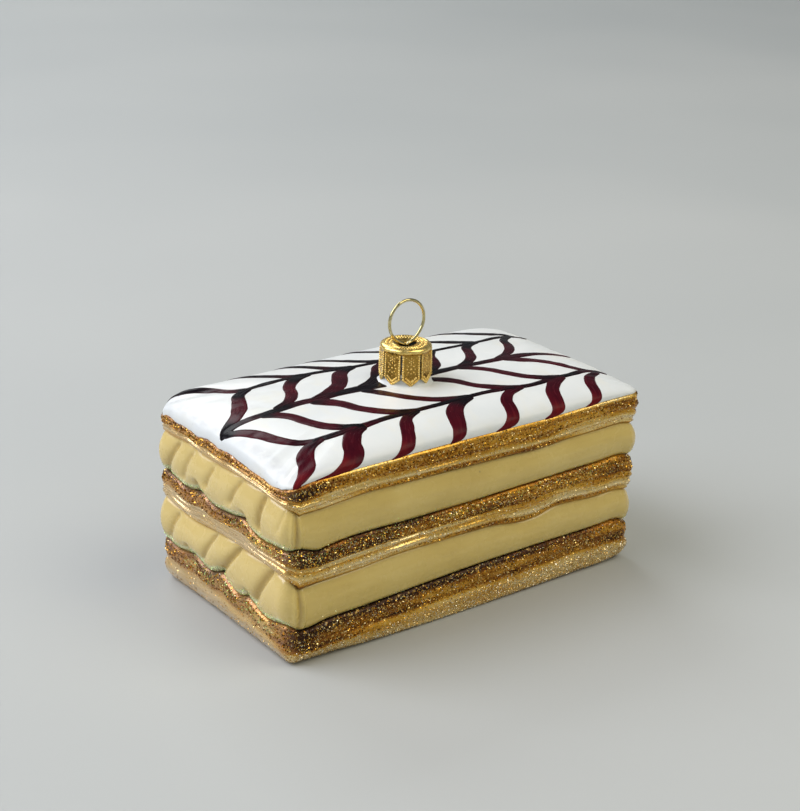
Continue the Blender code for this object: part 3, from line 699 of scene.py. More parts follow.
def lacquer_material():
    """Burgundy lacquer with brush streaks, nearly black where it is thick."""
    n = Nodes("feather_lacquer")
    combined = n.add("ShaderNodeCombineXYZ")
    n.link(n.math("MULTIPLY", n.attribute("along"), 0.25), combined.inputs["X"])
    n.link(n.math("MULTIPLY", n.attribute("across"), 2.2), combined.inputs["Y"])
    streaks = n.noise(1.0, 3, combined.outputs["Vector"])
    edge = n.math("ABSOLUTE", n.attribute("across"))
    pools = n.noise(5 * MM, 2)
    blend = n.math("ADD", n.math("MULTIPLY", streaks, 0.25), n.math("MULTIPLY", pools, 0.25))
    shifted = n.math("SUBTRACT", n.math("ADD", blend, 0.36), n.math("MULTIPLY", n.attribute("ink"), 0.32))
    tone = n.math("ADD", shifted, n.math("MULTIPLY", n.attribute("thin"), 0.2))
    colour = n.ramp(tone, (
        (0.2, (0.003, 0.004, 0.006)), (0.38, (0.007, 0.003, 0.005)), (0.56, (0.04, 0.003, 0.008)),
        (0.7, (0.075, 0.005, 0.011)), (0.9, (0.19, 0.012, 0.012)),
    ))
    n.feed("Base Color", n.mix(n.fit(edge, 0.75, 1.0, 0.0, 0.35), colour, (0.07, 0.006, 0.011)))
    n.feed("Roughness", n.fit(streaks, 0.3, 0.7, 0.18, 0.3))
    n.set(Specular_IOR_Level=0.07)
    n.bump(streaks, 0.05 * MM, 0.5)
    return n.material


def glitter_material(name, stops, roughness):
    """Metal flakes of several shades, chosen flake by flake; their spread from near black to pale is partly the flakes'
    own colours and partly painted sparkle.
    """
    n = Nodes(name)
    n.feed("Base Color", n.ramp(n.attribute("shade"), stops))
    n.feed("Roughness", n.fit(n.attribute("shade"), 0.0, 1.0, roughness, roughness + 0.12))
    n.set(Metallic=1.0)
    return n.material


def gold_material():
    """Bright stamped gold, with painted shade in its hollows."""
    n = Nodes("cap_gold")
    patina = n.noise(0.9 * MM, 3)
    bright = n.ramp(patina, ((0.3, (0.88, 0.58, 0.14)), (0.6, (1.0, 0.75, 0.27))))
    # Painted shade: the gold darkens where the cap's per-point shade value is high, in its hollows
    n.feed("Base Color", n.mix(n.attribute("hollow_shade"), bright, (0.42, 0.23, 0.03)))
    n.feed("Roughness", n.fit(patina, 0.3, 0.7, 0.18, 0.32))
    n.set(Metallic=0.9)
    n.bump(n.noise(0.3 * MM, 2), 0.02 * MM, 0.5)
    return n.material


def wire_material():
    """Bright drawn pale brass."""
    n = Nodes("ring_wire")
    drawn = n.noise(0.8 * MM, 3)
    n.feed("Base Color", n.ramp(drawn, ((0.3, (0.50, 0.42, 0.17)), (0.7, (0.70, 0.62, 0.35)))))
    n.feed("Roughness", n.fit(drawn, 0.3, 0.7, 0.05, 0.12))
    n.set(Metallic=1.0)
    n.bump(n.noise(0.15 * MM, 2), 0.01 * MM, 0.4)
    return n.material


def neck_material():
    """The silvered glass of the short neck."""
    n = Nodes("neck_glass")
    veil = n.noise(1.5 * MM, 3)
    n.feed("Base Color", n.ramp(veil, ((0.3, (0.32, 0.34, 0.34)), (0.7, (0.5, 0.52, 0.52)))))
    n.feed("Roughness", n.fit(veil, 0.3, 0.7, 0.08, 0.2))
    n.set(Metallic=0.7, Coat_Weight=0.8, Coat_Roughness=0.04)
    return n.material


# --- cream and pastry bands ------------------------------------------------------------
def column_places():
    """Distances along the whole outline, closer together at the near left corner."""
    s = np.linspace(0, LOOP, 4000)
    crowding = 1 + (FINE_COLUMNS - 1) * np.exp(-((off_from(s, NEAR_LEFT) / 5) ** 2))
    total = np.concatenate(([0], np.cumsum((crowding[1:] + crowding[:-1]) / 2 * np.diff(s))))
    count = round(total[-1] / COLUMN_STEP)
    return np.interp(np.arange(count) / count * total[-1], total, s)


def toast_of(band, q, level):
    """How brown a pastry band is."""
    knots = [x * MM + STRAIGHT_X for x in TOAST_FRONT] + [END_MIDDLE + y * MM for y in TOAST_END]
    levels = [row[0] for row in TOAST[band]]
    table = np.array([row[1] for row in TOAST[band]]).T
    by_place = smooth_curve(knots, table, q.ravel(), period=HALF_LOOP)
    flat = level.ravel()
    result = np.zeros(flat.shape)
    for i in range(len(levels) - 1):
        inside = (flat >= levels[i]) & (flat < levels[i + 1])
        share = smooth_step(levels[i], levels[i + 1], flat[inside])
        result[inside] = by_place[inside, i] * (1 - share) + by_place[inside, i + 1] * share
    result[flat < levels[0]] = by_place[flat < levels[0], 0]
    result[flat >= levels[-1]] = by_place[flat >= levels[-1], -1]
    return result.reshape(q.shape)


def build_band(band, rows, material, slot):
    """One band of the slice as a closed shell."""
    s = column_places()[None, :]
    level = np.linspace(0, 1, rows)[:, None]
    s, level = np.broadcast_arrays(s, level)
    skin = wall_point(band, s, level)
    x, y, nx, ny, q = outline(s)
    normals = flat_points(nx, ny, 0 * nx)
    if band not in CREASES:
        margin = np.sin(math.pi * level)[..., None] ** 0.5
        rough = 0.3 + 0.7 * smooth_step(0.2, 0.6, toast_of(band, q, level))
        if band == "bottom_pastry":
            rough = np.maximum(rough, 1 - 0.7 * end_share(q))
        skin = skin + normals * (crust(skin, band)[..., None] * margin * rough[..., None])
    inner = skin[[-1, 0]] - normals[[-1, 0]] * WALL
    points = np.concatenate((skin, inner))
    faces = grid_faces(rows + 2, s.shape[1], wrap_rows=True)
    if band in CREASES:
        low, high = band_edges(band, s)
        height = (high - low) * level
        strip = (0.5 + 1.7 * end_share(q)) * MM
        edge = (1 - smooth_step(0.5, 1.0, height / strip)) * (0.35 + 0.6 * end_share(q))
        # crease: how deep the creases and seam grooves are; the cream material paints shade there
        crease = crease_depth(band, q, level) / MM
        for place, rise, width in SEAMS[band]:
            crease = crease + 1.8 * max(-rise, 0.0) * np.exp(-(((off_from(s, 0.0) - place) / width) ** 2))
        values = {"edge": edge, "crease": np.clip(crease, 0, 1), "end": end_share(q)}
    else:
        values = {"toast": toast_of(band, q, level), "end": end_share(q)}
    values = {key: np.concatenate((value, value[[-1, 0]])) for key, value in values.items()}
    return finish_piece(make_mesh(band, points, faces.tolist(), values), material, slot, "glass_body")


# --- the icing -------------------------------------------------------------------------
def fall(x, y):
    """The dome's fall: 1 in the middle and 0 at the slice's sides."""
    along = 1 - np.abs(x / HALF_LENGTH) ** DOME_FALL_POWER
    return along * (1 - np.abs(y / HALF_WIDTH) ** DOME_FALL_POWER)


def icing_foot(s):
    """The icing's lower edge."""
    x, y, nx, ny, q = outline(s)
    z = along_loop(BAND_TOPS["top_pastry"], s)
    ragged = 0.16 * MM * noise(flat_points(s, 0 * s, 0 * s), 1.1 * MM, 8)
    return x + nx * ICING_FOOT_OFFSET, y + ny * ICING_FOOT_OFFSET, z + ragged * end_share(q)


def foot_table():
    """The icing's foot as angles about the middle, distances from it and heights."""
    s = np.linspace(0, LOOP, 6000, endpoint=False)
    x, y, z = icing_foot(s)
    angle = np.arctan2(y, x) % (2 * math.pi)
    order = np.argsort(angle)
    return angle[order], np.hypot(x, y)[order], z[order]


FOOT_ANGLES, FOOT_REACH, FOOT_HEIGHTS = foot_table()


def icing_height(x, y):
    """The icing's height above the base at any plan place within its foot."""
    angle = np.arctan2(y, x) % (2 * math.pi)
    reach = np.interp(angle, FOOT_ANGLES, FOOT_REACH, period=2 * math.pi)
    low = np.interp(angle, FOOT_ANGLES, FOOT_HEIGHTS, period=2 * math.pi)
    foot = fall(reach * np.cos(angle), reach * np.sin(angle))
    power = DOME_RIM_POWER - FRONT_RIM_EASE * smooth_step(0.3, 0.9, -y / HALF_WIDTH)
    rise = np.clip((fall(x, y) - foot) / (1 - foot), 0, 1) ** (1 / power)
    place = flat_points(x, y, 0 * x)
    waves = 0.10 * MM * noise(place, 13 * MM, 1) + 0.03 * MM * noise(place, 4 * MM, 2)
    return low + (TOP_HEIGHT - low) * rise + waves * rise


def rim_table(direction):
    """Plan distances from the middle to the foot and distances over the icing to them."""
    reach = np.interp(direction, FOOT_ANGLES, FOOT_REACH)
    plan = reach * (1 - np.linspace(1, 0, 2000) ** 4)
    height = icing_height(plan * math.cos(direction), plan * math.sin(direction))
    steps = np.hypot(np.diff(plan), np.diff(height))
    return plan, np.concatenate(([0], np.cumsum(steps)))


PLAN_X, OVER_X = rim_table(0.0)
PLAN_Y, OVER_Y = rim_table(math.pi / 2)


def icing_point(a, b):
    """The icing's surface at distances a along and b across, measured over its rims."""
    x = np.sign(a) * np.interp(np.abs(a), OVER_X, PLAN_X)
    y = np.sign(b) * np.interp(np.abs(b), OVER_Y, PLAN_Y)
    past = np.maximum(np.abs(a) - OVER_X[-1], 0) + np.maximum(np.abs(b) - OVER_Y[-1], 0)
    reach = np.interp(np.arctan2(y, x) % (2 * math.pi), FOOT_ANGLES, FOOT_REACH, period=2 * math.pi)
    over = np.maximum(np.hypot(x, y) / reach, 1)
    past = past + (over - 1) * reach
    x, y = x / over, y / over
    return flat_points(x, y, icing_height(x, y) - past)


def icing_frame(a, b):
    """Points of the icing and its normals there."""
    step = 0.15 * MM
    point = icing_point(a, b)
    along = icing_point(a + step, b) - icing_point(a - step, b)
    across = icing_point(a, b + step) - icing_point(a, b - step)
    normal = np.cross(along, across)
    return point, normal / np.maximum(np.linalg.norm(normal, axis=-1, keepdims=True), 1e-12)


def build_icing(material):
    """The domed icing as a closed solid that fits down onto the top band."""
    s = column_places()
    x, y, z = icing_foot(s)
    rim = np.linspace(0, 0.5, 26) ** 4
    scales = 1 - np.concatenate((rim, np.linspace(rim[-1], 1, 46)[1:-1]))
    rows = [flat_points(x * k, y * k, icing_height(x * k, y * k)) for k in scales]
    rows[0] = flat_points(x, y, z)
    count = len(s)
    crown = flat_points(np.zeros(1), np.zeros(1), icing_height(np.zeros(1), np.zeros(1)))
    under = flat_points(np.zeros(1), np.zeros(1), np.full(1, z.min()))
    points = np.concatenate((np.concatenate(rows), crown, under))
    faces = grid_faces(len(rows), count).tolist()
    last = (len(rows) - 1) * count
    top, bottom = len(rows) * count, len(rows) * count + 1
    for i in range(count):
        j = (i + 1) % count
        faces.append((last + i, last + j, top))
        faces.append((j, i, bottom))
    # rim: a band beside the left rim where it turns down, which the icing material darkens as painted shade and flecks
    inward = (1 - scales)[:, None] * np.hypot(x, y) / MM
    left = smooth_step(0.8, 0.95, -x / HALF_LENGTH)
    rim = np.exp(-((inward - 2.2) / 1.6) ** 2) * left
    rim = np.concatenate((rim.ravel(), (0, 0)))
    return finish_piece(make_mesh("icing", points, faces, {"rim": rim}), material, "icing_enamel", "glass_body")


def stroke_mesh(stroke, seed):
    """One raised stroke of lacquer: its points, faces, and how far along and across it they lie."""
    marks = np.array(stroke, float) * MM
    chords = np.concatenate(([0], np.cumsum(np.hypot(*np.diff(marks[:, :2], axis=0).T))))
    steps = max(8, round(chords[-1] / STROKE_STEP))
    at = np.linspace(0, chords[-1], steps)
    line = smooth_curve(chords, marks, at)
    a, b, width = line.T
    around = flat_points(at, 0 * at, 0 * at + seed)
    half = STROKE_SPREAD * width / 2 * (1 + 0.07 * noise(around, 2.5 * MM, seed))
    inward = np.minimum(at, chords[-1] - at)
    half = half * np.sqrt(1 - (1 - np.clip(inward / np.maximum(half, 0.3 * MM), 0.02, 1)) ** 2)
    heading = np.stack((np.gradient(a), np.gradient(b)), -1)
    heading /= np.linalg.norm(heading, axis=-1, keepdims=True)
    across = np.sin(np.linspace(-math.pi / 2, math.pi / 2, 11))
    offset = half[:, None] * across
    point, normal = icing_frame(a[:, None] - heading[:, 1:] * offset, b[:, None] + heading[:, :1] * offset)
    bead = 0.25 + 0.75 * np.sqrt(1 - across**4)
    thick = STROKE_HEIGHT * (0.8 + 0.3 * noise(point, 1.6 * MM, seed)) * bead
    top = point + normal * thick[..., None]
    below = point[:, [-1, 0]] - normal[:, [-1, 0]] * 0.12 * MM
    ring = np.concatenate((top, below), 1)
    columns = ring.shape[1]
    faces = grid_faces(steps, columns)[:, ::-1].tolist()
    faces.append(tuple(range(columns)))
    faces.append(tuple(reversed(range((steps - 1) * columns, steps * columns))))
    along = np.broadcast_to(at[:, None] / MM + 37.0 * seed, ring.shape[:2])
    share = np.broadcast_to(np.concatenate((across, (1, -1))), ring.shape[:2])
    pooled = sum(np.exp(-(((b / MM - line) / 1.9) ** 2)) for line in LINE_PLACES)
    x, y = a / MM, b / MM
    fine = smooth_step(-2, 10, y) * (1 - smooth_step(1.7, 2.6, width / MM))
    gathered = np.exp(-((x / 13) ** 2) - ((y - 1) / 8) ** 2) + np.exp(-(((x + 48) / 2.5) ** 2) - (y / 2.5) ** 2)
    ink = np.clip(pooled * (0.75 + 0.5 * noise(around, 5 * MM, 3)) + 0.9 * fine + gathered, 0, 1)
    thin = smooth_step(-22.5, -27, b / MM) * 0.8
    ink, thin = (np.broadcast_to(values[:, None], ring.shape[:2]) for values in (ink, thin))
    return ring.reshape(-1, 3), faces, (along, share, ink, thin)


def build_strokes(material):
    """All the lacquer strokes, one closed ribbon each, lying over one another."""
    points, faces, measures = [], [], []
    count = 0
    for seed, stroke in enumerate(STROKES):
        made, quads, measured = stroke_mesh(stroke, seed)
        points.append(made)
        faces += [[count + i for i in face] for face in quads]
        measures.append([values.ravel() for values in measured])
        count += len(made)
    values = dict(zip(("along", "across", "ink", "thin"), (np.concatenate(parts) for parts in zip(*measures))))
    piece = make_mesh("feather_strokes", np.concatenate(points), faces, values)
    return finish_piece(piece, material, "feather_lacquer", "glass_body")


# --- glitter -----------------------------------------------------------------------------
def scatter(rng, band, density, count, low=0.0, high=1.0):
    """Random places on a band, kept where density(s, q, level) says: s and level. The band is not used."""
    kept_s, kept_level = [], []
    total = 0
    while total < count:
        s = rng.uniform(0, LOOP, 20000)
        level = rng.uniform(low, high, 20000)
        wanted = rng.uniform(0, 1, 20000) < density(s, s % HALF_LOOP, level)
        kept_s.append(s[wanted])
        kept_level.append(level[wanted])
        total += int(wanted.sum())
    return np.concatenate(kept_s)[:count], np.concatenate(kept_level)[:count]


def wall_frame(band, s, level):
    """Points of a band's skin and its normals there."""
    step_s, step_level = 0.2 * MM, 0.02
    point = wall_point(band, s, level)
    along = wall_point(band, s + step_s, level) - wall_point(band, s - step_s, level)
    up = wall_point(band, s, np.minimum(level + step_level, 1)) - wall_point(band, s, np.maximum(level - step_level, 0))
    normal = np.cross(along, up)
    return point, normal / np.maximum(np.linalg.norm(normal, axis=-1, keepdims=True), 1e-12)


def build_grains(name, rng, points, normals, size, tilt, material, slot="glitter"):
    """Four-sided chips of glitter at points, each lying nearly flat with a turn of its own."""
    count = len(points)
    lean = rng.normal(0, tilt, (count, 3))
    up = normals + lean
    up /= np.linalg.norm(up, axis=1, keepdims=True)
    side = np.cross(up, rng.normal(0, 1, (count, 3)))
    side /= np.linalg.norm(side, axis=1, keepdims=True)
    other = np.cross(up, side)
    reach = size * rng.uniform(0.6, 1.25, (count, 1))
    corners = []
    for degrees in (90, 210, 330):
        turn = math.radians(degrees)
        flat = side * math.cos(turn) + other * math.sin(turn)
        corners.append(points + reach * (flat - 0.25 * up))
    corners.append(points + reach * 0.45 * up)
    vertices = np.stack(corners, 1).reshape(-1, 3)
    first = np.arange(count)[:, None, None] * 4
    chip = np.array(((0, 1, 3), (1, 2, 3), (2, 0, 3), (2, 1, 0)))
    faces = (first + chip[None]).reshape(-1, 3)
    # Each flake's tone: partly its own colour and partly painted sparkle, dimmer on the short ends
    dim = 1 - 0.35 * np.abs(normals[:, 0]) ** 4
    shade = np.repeat(rng.uniform(0, 1, count) * dim, 4)
    piece = make_mesh(name, vertices, faces.tolist(), {"shade": shade}, smooth=False)
    return finish_piece(piece, material, slot, "glass_body")


def build_glitter():
    """Gold and brown glitter on the browned ridges, silver on the pale ones, and a
    shimmering dusting along the creams' lower edges."""
    gold = glitter_material("gold_glitter", (
        (0.0, (0.04, 0.013, 0.003)), (0.42, (0.28, 0.10, 0.008)), (0.55, (0.74, 0.40, 0.04)), (0.8, (0.92, 0.60, 0.13)),
        (1.0, (1.0, 0.86, 0.46)),
    ), 0.12)
    silver = glitter_material("pale_glitter", (
        (0.0, (0.45, 0.25, 0.07)), (0.4, (0.80, 0.58, 0.24)), (0.75, (0.92, 0.80, 0.52)), (1.0, (1.0, 0.95, 0.82)),
    ), 0.18)
    shimmer = glitter_material("shimmer_glitter", (
        (0.0, (0.30, 0.45, 0.14)), (0.35, (0.50, 0.75, 0.24)), (0.7, (0.85, 0.88, 0.50)), (1.0, (0.8, 0.6, 0.75)),
    ), 0.15)
    groups = {"gold_glitter": [], "pale_glitter": [], "shimmer_glitter": []}
    rng = np.random.default_rng(11)

    def toasted(band):
        return lambda s, q, level: smooth_step(0.3, 0.7, toast_of(band, q, level))

    def pale(band):
        return lambda s, q, level: (1 - 0.93 * end_share(q)) * (
            1 - 0.9 * smooth_step(0.2, 0.5, toast_of(band, q, level)))

    for band, dark_count, pale_count in (
        ("bottom_pastry", 10000, 13000), ("middle_pastry", 11000, 2800), ("top_pastry", 8000, 1800),
    ):
        low = 0.02 if band == "bottom_pastry" else 0.08
        for key, density, count in (
            ("gold_glitter", toasted(band), dark_count), ("pale_glitter", pale(band), pale_count),
        ):
            s, level = scatter(rng, band, density, count, low, 0.98)
            groups[key].append(wall_frame(band, s, level))
    for band, count in (("lower_cream", 2600), ("upper_cream", 2600)):
        def fringe(s, q, level):
            return (1 - smooth_step(0.06, 0.24, level)) * (0.1 + 0.9 * end_share(q))
        s, level = scatter(rng, band, fringe, count, 0.0, 0.24)
        groups["shimmer_glitter"].append(wall_frame(band, s, level))
    for band, start, stop, count in (
        ("middle_pastry", END_MIDDLE - HALF_LOOP, 2 * STRAIGHT_X, 1500), ("bottom_pastry", -2 * STRAIGHT_Y, 0, 700),
    ):
        def crest(s, q, level):
            past = (s + HALF_LOOP) % LOOP - HALF_LOOP
            inside = smooth_step(start, start + 10 * MM, past) * (1 - smooth_step(stop - 10 * MM, stop, past))
            return inside * smooth_step(0.6, 0.85, level)
        s, level = scatter(rng, band, crest, count, 0.6, 0.98)
        groups["shimmer_glitter"].append(wall_frame(band, s, level))
    for (key, parts), size, tilt, material in zip(
        groups.items(), (0.25 * MM, 0.23 * MM, 0.16 * MM), (0.7, 0.7, 0.6), (gold, silver, shimmer)
    ):
        points = np.concatenate([p for p, _ in parts])
        normals = np.concatenate([n for _, n in parts])
        build_grains(key, rng, points, normals, size, tilt, material)


# --- the cap, the ring and the neck --------------------------------------------------------
def build_cap(material, top):
    """The stamped crown: a ringed disc with a funnel to its slot, a shoulder and eight petals."""
    half_pitch = math.pi / PETALS
    petal_half = math.atan(PETAL_HALF_WIDTH / CAP_FLAT_RADIUS)
    inside = np.linspace(-petal_half, petal_half, 13)
    columns = [(p, local) for p in range(PETALS) for local in (-half_pitch, *inside)]
    points, rows_of, hollow_shade = [], [], []
    for petal, local in columns:
        angle = PETAL_TURN + 2 * half_pitch * petal + local
        skirt = CAP_FLAT_RADIUS / math.cos(local)
        slot = SLOT_HALF_LENGTH * SLOT_HALF_WIDTH / math.hypot(
            SLOT_HALF_WIDTH * math.cos(angle), SLOT_HALF_LENGTH * math.sin(angle))
        disc_start = DISC_SECTION[0][0]
        column = [(slot + (max(disc_start, slot) + 0.05 - slot) * k, z) for k, z in FUNNEL_SECTION]
        column += [(max(r, slot + 0.06), z) for r, z in DISC_SECTION]
        for k, (share, z) in enumerate(SHOULDER_SECTION):
            flatness = (k / (len(SHOULDER_SECTION) - 1)) ** 2
            column.append((share * (CAP_ROUND_RADIUS + (skirt - CAP_ROUND_RADIUS) * flatness), z))
        # Painted shade along each column: darkest in the funnel, the disc's low rings, the foot of the shoulder and the
        # petals' middles between their beads
        column_shade = [0.9, 0.7, 0.4] + [max(0.0, -z * 7 - 0.1) for _, z in DISC_SECTION]
        column_shade += [0.0] * (len(SHOULDER_SECTION) - 3) + [0.4, 1.0, 1.0]
        if abs(local) < half_pitch - 1e-6:
            across = abs(local) / petal_half
            tip = PETAL_TIP + (PETAL_CORNER - PETAL_TIP) * across
            start = SHOULDER_SECTION[-1][1]
            for k in np.linspace(0.06, 1, 14):
                column.append((skirt * 0.96 + 0.2 * k, start + (tip - start) * k))
                edge = min(1.0, (1 - across) * 5, (1 - k) * 9)
                column_shade.append(0.55 + 0.35 * edge)
        rows_of.append((len(points), len(column)))
        hollow_shade += column_shade
        points += [(r * math.cos(angle) * MM, r * math.sin(angle) * MM, top + z * MM) for r, z in column]
    faces = []
    for i, (start, count) in enumerate(rows_of):
        after, other = rows_of[(i + 1) % len(rows_of)]
        for k in range(min(count, other) - 1):
            faces.append((start + k, start + k + 1, after + k + 1, after + k))
    piece = make_mesh("crown_cap", points, faces, {"hollow_shade": np.clip(hollow_shade, 0, 1)})
    piece.data.set_sharp_from_angle(angle=math.radians(60))
    sheet = piece.modifiers.new("sheet", "SOLIDIFY")
    sheet.thickness = CAP_SHEET * MM
    sheet.offset = -1.0
    return finish_piece(piece, material, "cap_gold", "cap")


def bead_points(radius):
    """A low dome of points about the origin, flat side down, and its faces."""
    rings = 3
    sides = 8
    points = [(0, 0, radius)]
    for ring in range(1, rings + 1):
        tilt = math.pi / 2 * ring / rings * 1.15
        for side in range(sides):
            turn = 2 * math.pi * side / sides
            points.append((radius * math.sin(tilt) * math.cos(turn), radius * math.sin(tilt) * math.sin(turn),
                           radius * math.cos(tilt)))
    faces = [(0, 1 + i, 1 + (i + 1) % sides) for i in range(sides)]
    for ring in range(rings - 1):
        for i in range(sides):
            j = (i + 1) % sides
            base = 1 + ring * sides
            faces.append((base + i, base + sides + i, base + sides + j, base + j))
    faces.append(tuple(reversed(range(1 + (rings - 1) * sides, 1 + rings * sides))))
    return np.array(points), faces


def petal_beads():
    """(across, height, size) in mm of the beads stamped on one petal."""
    beads = []
    edge = PETAL_HALF_WIDTH - 0.26
    for z in np.arange(-1.6, PETAL_CORNER + 0.1, -0.52):
        beads += [(-edge, z, BEAD_SIZE), (edge, z, BEAD_SIZE)]
    for inner in (0.0, 0.62):
        for k in np.linspace(0.2, 1, 5):
            z = PETAL_CORNER + 0.05 + inner + (PETAL_TIP + 0.42 - PETAL_CORNER) * k
            side = (edge - inner * 0.6) * (1 - k) + 0.01
            beads += [(-side, z, BEAD_SIZE), (side, z, BEAD_SIZE)]
    for centre, reach, count, size in ((-2.6, 0.55, 6, 0.17), (-4.5, 0.9, 8, 0.19)):
        beads.append((0.0, centre, size * 1.3))
        for i in range(count):
            turn = 2 * math.pi * i / count
            beads.append((reach * math.sin(turn), centre + reach * 1.1 * math.cos(turn), size))
    for across, z in ((0.95, -3.5), (0.95, -5.7), (1.15, -1.9), (0.0, -6.3)):
        beads += [(-across, z, 0.15), (across, z, 0.15)]
    return beads


def build_beads(material, top):
    """The beading of the cap: two rings on the disc and rows and rosettes on the petals."""
    places = []
    for radius, size, count in BEAD_RINGS:
        for i in range(count):
            angle = 2 * math.pi * i / count
            across, along = math.sin(angle), math.cos(angle)
            place = Vector((radius * along, radius * across, -0.15))
            turn = Matrix(((along * BEAD_LENGTH, -across, 0), (across * BEAD_LENGTH, along, 0), (0, 0, 1)))
            places.append((place, turn, size))
    for petal in range(PETALS):
        angle = PETAL_TURN + 2 * math.pi * petal / PETALS
        outward = Vector((math.cos(angle), math.sin(angle), 0))
        across = Vector((-math.sin(angle), math.cos(angle), 0))
        turn = Matrix((across, Vector((0, 0, 1)), outward)).transposed()
        for offset, z, size in petal_beads():
            fade = (z - PETAL_TIP) / PETAL_TIP
            place = outward * (CAP_FLAT_RADIUS * 0.96 + 0.2 * (1 + fade)) + across * offset + Vector((0, 0, z))
            places.append((place - outward * size * 0.25, turn, size))
    points, faces = [], []
    for place, turn, size in places:
        dome, sides = bead_points(size)
        start = len(points)
        points += [(turn @ Vector(p) + place) * MM + Vector((0, 0, top)) for p in dome]
        faces += [tuple(start + i for i in side) for side in sides]
    piece = make_mesh("cap_beads", [tuple(p) for p in points], faces, {"hollow_shade": np.zeros(len(points))})
    return finish_piece(piece, material, "cap_gold", "cap")


def build_ring(material, top):
    """The sprung wire: a round loop whose legs turn down through the slot and spread in the neck."""
    start = math.asin(LEG_HALF_GAP / RING_RADIUS)
    foot = RING_RISE - RING_RADIUS - RING_DROP
    leg = []
    for share in np.linspace(0, 1, 10, endpoint=False):
        x = LEG_SPREAD + (LEG_HALF_GAP - LEG_SPREAD) * math.sin(share * math.pi / 2)
        leg.append((x, -LEG_DEPTH + (foot + LEG_DEPTH) * share))
    loop = []
    for angle in np.linspace(start, 2 * math.pi - start, 120):
        drop = RING_DROP * max(0.0, math.cos(angle)) ** RING_DROP_POWER
        loop.append((RING_RADIUS * math.sin(angle), RING_RISE - RING_RADIUS * math.cos(angle) - drop))
    path = leg + loop + [(-x, z) for x, z in reversed(leg)]
    curve = bpy.data.curves.new("wire_ring", "CURVE")
    curve.dimensions = "3D"
    curve.bevel_depth = WIRE_RADIUS * MM
    curve.bevel_resolution = 5
    curve.use_fill_caps = True
    spline = curve.splines.new("POLY")
    spline.points.add(len(path) - 1)
    for point, (x, z) in zip(spline.points, path):
        point.co = (x * MM, 0.0, top + z * MM, 1.0)
    piece = bpy.data.objects.new("wire_ring", curve)
    bpy.context.scene.collection.objects.link(piece)
    return finish_piece(piece, material, "ring_wire", "ring")


def build_neck(material, top):
    """The short open neck of the blown body, under the cap."""
    upper = -NECK_DROP
    lower = (TOP_HEIGHT - top) / MM - 1.0
    lip = 0.25
    section = ((NECK_RADIUS, lower), (NECK_RADIUS, upper - lip), (NECK_RADIUS - 0.07, upper - 0.07),
               (NECK_RADIUS - lip, upper), (NECK_BORE_RADIUS + lip, upper), (NECK_BORE_RADIUS + 0.07, upper - 0.07),
               (NECK_BORE_RADIUS, upper - lip), (NECK_BORE_RADIUS, lower))
    sides = 96
    turn = 2 * math.pi * np.arange(sides) / sides
    rows = [flat_points(r * MM * np.cos(turn), r * MM * np.sin(turn), np.full(sides, top + z * MM)) for r, z in section]
    faces = grid_faces(len(rows), sides, wrap_rows=True).tolist()
    return finish_piece(make_mesh("neck", np.concatenate(rows), faces), material, "clear_glass", "glass_body")


def build_collar(material, top):
    """The fillet of white enamel where the neck rises out of the icing."""
    sides = 96
    turn = 2 * math.pi * np.arange(sides) / sides
    dome = (TOP_HEIGHT - top) / MM
    section = ((6.7, dome - 0.3), (6.4, dome + 0.03), (5.9, dome + 0.16), (5.5, dome + 0.45), (5.25, dome + 0.9),
               (5.12, dome + 1.6), (5.02, dome + 1.9), (4.9, dome + 1.6), (4.9, dome - 0.3))
    wobble = 1 + 0.012 * noise(flat_points(np.cos(turn), np.sin(turn), 0 * turn), 0.5, 6)
    rows = [flat_points(r * MM * wobble * np.cos(turn), r * MM * wobble * np.sin(turn), np.full(sides, top + z * MM))
            for r, z in section]
    faces = grid_faces(len(rows), sides, wrap_rows=True).tolist()
    piece = make_mesh("neck_collar", np.concatenate(rows), faces, {"rim": np.zeros(sides * len(section))})
    return finish_piece(piece, material, "icing_enamel", "glass_body")


# --- the studio ------------------------------------------------------------------------------
CAMERA_PLACE = Vector((-0.2228, -0.2872, 0.1811))
CAMERA_AZIMUTH = math.radians(-37.66)
CAMERA_ELEVATION = math.radians(21.22)
CAMERA_ROLL = math.radians(1.81)
CAMERA_LENS = 76.92


def build_camera():
    """The camera, from the front left and a little above."""
    data = bpy.data.cameras.new("camera")
    data.sensor_width = 36
    data.lens = CAMERA_LENS
    data.clip_start = 0.01
    level = math.cos(CAMERA_ELEVATION)
    back = Vector((math.sin(CAMERA_AZIMUTH) * level, -math.cos(CAMERA_AZIMUTH) * level, math.sin(CAMERA_ELEVATION)))
    right = Vector((0, 0, 1)).cross(back).normalized()
    up = back.cross(right)
    rolled_right = right * math.cos(CAMERA_ROLL) + up * math.sin(CAMERA_ROLL)
    rolled_up = up * math.cos(CAMERA_ROLL) - right * math.sin(CAMERA_ROLL)
    camera = bpy.data.objects.new("camera", data)
    camera.matrix_world = Matrix.Translation(CAMERA_PLACE) @ Matrix((rolled_right, rolled_up, back)).transposed().to_4x4()
    bpy.context.scene.collection.objects.link(camera)
    bpy.context.scene.camera = camera


def build_floor():
    """A plain pale floor."""
    n = Nodes("floor_paper")
    veil = n.noise(0.25, 2)
    n.feed("Base Color", n.ramp(veil, ((0.3, (0.455, 0.475, 0.47)), (0.7, (0.50, 0.515, 0.505)))))
    n.set(Roughness=0.75)
    half = 3.0
    corners = ((-half, -half, 0), (half, -half, 0), (half, half, 0), (-half, half, 0))
    floor = make_mesh("floor", np.array(corners), [(0, 1, 2, 3)], smooth=False)
    floor.data.materials.append(n.material)


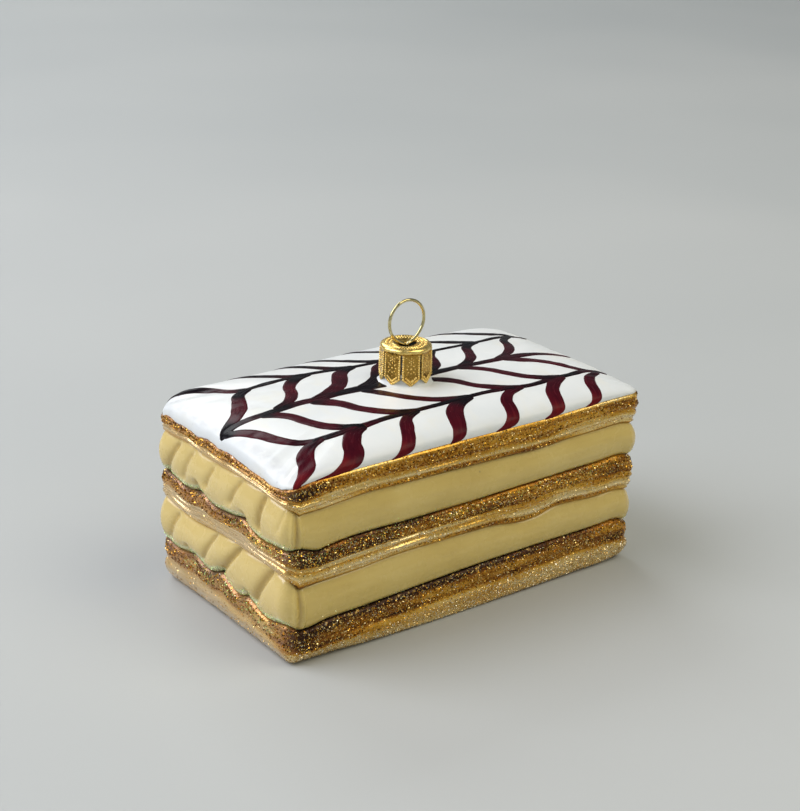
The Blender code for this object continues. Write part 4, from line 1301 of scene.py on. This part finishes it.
def area_light(name, place, aim, size, power, colour=(1, 1, 1)):
    """A square soft light at a place, aimed at a point."""
    data = bpy.data.lights.new(name, "AREA")
    data.size = size
    data.energy = power
    data.color = colour
    light = bpy.data.objects.new(name, data)
    light.location = place
    light.rotation_euler = (Vector(aim) - Vector(place)).to_track_quat("-Z", "Y").to_euler()
    bpy.context.scene.collection.objects.link(light)


def build_studio():
    """A soft window from the back left, a warm card to the front right, a light for the
    far floor and a surround that is pale at the left and dim at the back right."""
    area_light("window", (-0.72, 0.42, 0.85), (0, 0, 0.02), 1.0, 13.5, (0.97, 0.98, 1.06))
    area_light("ridge_card", (0.4, -0.5, 0.95), (0, 0, 0.03), 0.8, 5.6, (1.0, 0.92, 0.74))
    area_light("far_floor", (0.3, 1.6, 1.1), (0.3, 1.3, 0), 0.9, 11.0, (0.95, 0.98, 1.0))
    world = bpy.data.worlds.new("surround")
    world.use_nodes = True
    tree = world.node_tree
    direction = tree.nodes.new("ShaderNodeTexCoord").outputs["Generated"]
    factors = []
    for axis, (low, high), (to_low, to_high) in (((0, 0, 1), (0.0, 0.7), (0.42, 0.16)),
                                                 ((0.61, 0.79, 0), (-0.3, 0.8), (1.15, 0.6))):
        facing = tree.nodes.new("ShaderNodeVectorMath")
        facing.operation = "DOT_PRODUCT"
        facing.inputs[1].default_value = axis
        tree.links.new(direction, facing.inputs[0])
        fitted = tree.nodes.new("ShaderNodeMapRange")
        for key, number in zip(("From Min", "From Max", "To Min", "To Max"), (low, high, to_low, to_high)):
            fitted.inputs[key].default_value = number
        tree.links.new(facing.outputs["Value"], fitted.inputs["Value"])
        factors.append(fitted.outputs["Result"])
    strength = tree.nodes.new("ShaderNodeMath")
    strength.operation = "MULTIPLY"
    tree.links.new(factors[0], strength.inputs[0])
    tree.links.new(factors[1], strength.inputs[1])
    background = tree.nodes["Background"]
    background.inputs["Color"].default_value = (0.93, 0.99, 1.0, 1.0)
    tree.links.new(strength.outputs[0], background.inputs["Strength"])
    bpy.context.scene.world = world
    bpy.context.scene.view_settings.view_transform = "Standard"


def main():
    build_camera()
    build_floor()
    build_studio()
    cap_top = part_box("cap")[1][2]
    cream = cream_material()
    pastry = pastry_material()
    gold = gold_material()
    build_band("bottom_pastry", 44, pastry, "pastry_gilt")
    build_band("lower_cream", 34, cream, "cream_enamel")
    build_band("middle_pastry", 40, pastry, "pastry_gilt")
    build_band("upper_cream", 34, cream, "cream_enamel")
    build_band("top_pastry", 34, pastry, "pastry_gilt")
    enamel = icing_material()
    build_icing(enamel)
    build_strokes(lacquer_material())
    build_glitter()
    build_neck(neck_material(), cap_top)
    build_collar(enamel, cap_top)
    build_cap(gold, cap_top)
    build_beads(gold, cap_top)
    build_ring(wire_material(), cap_top)


main()
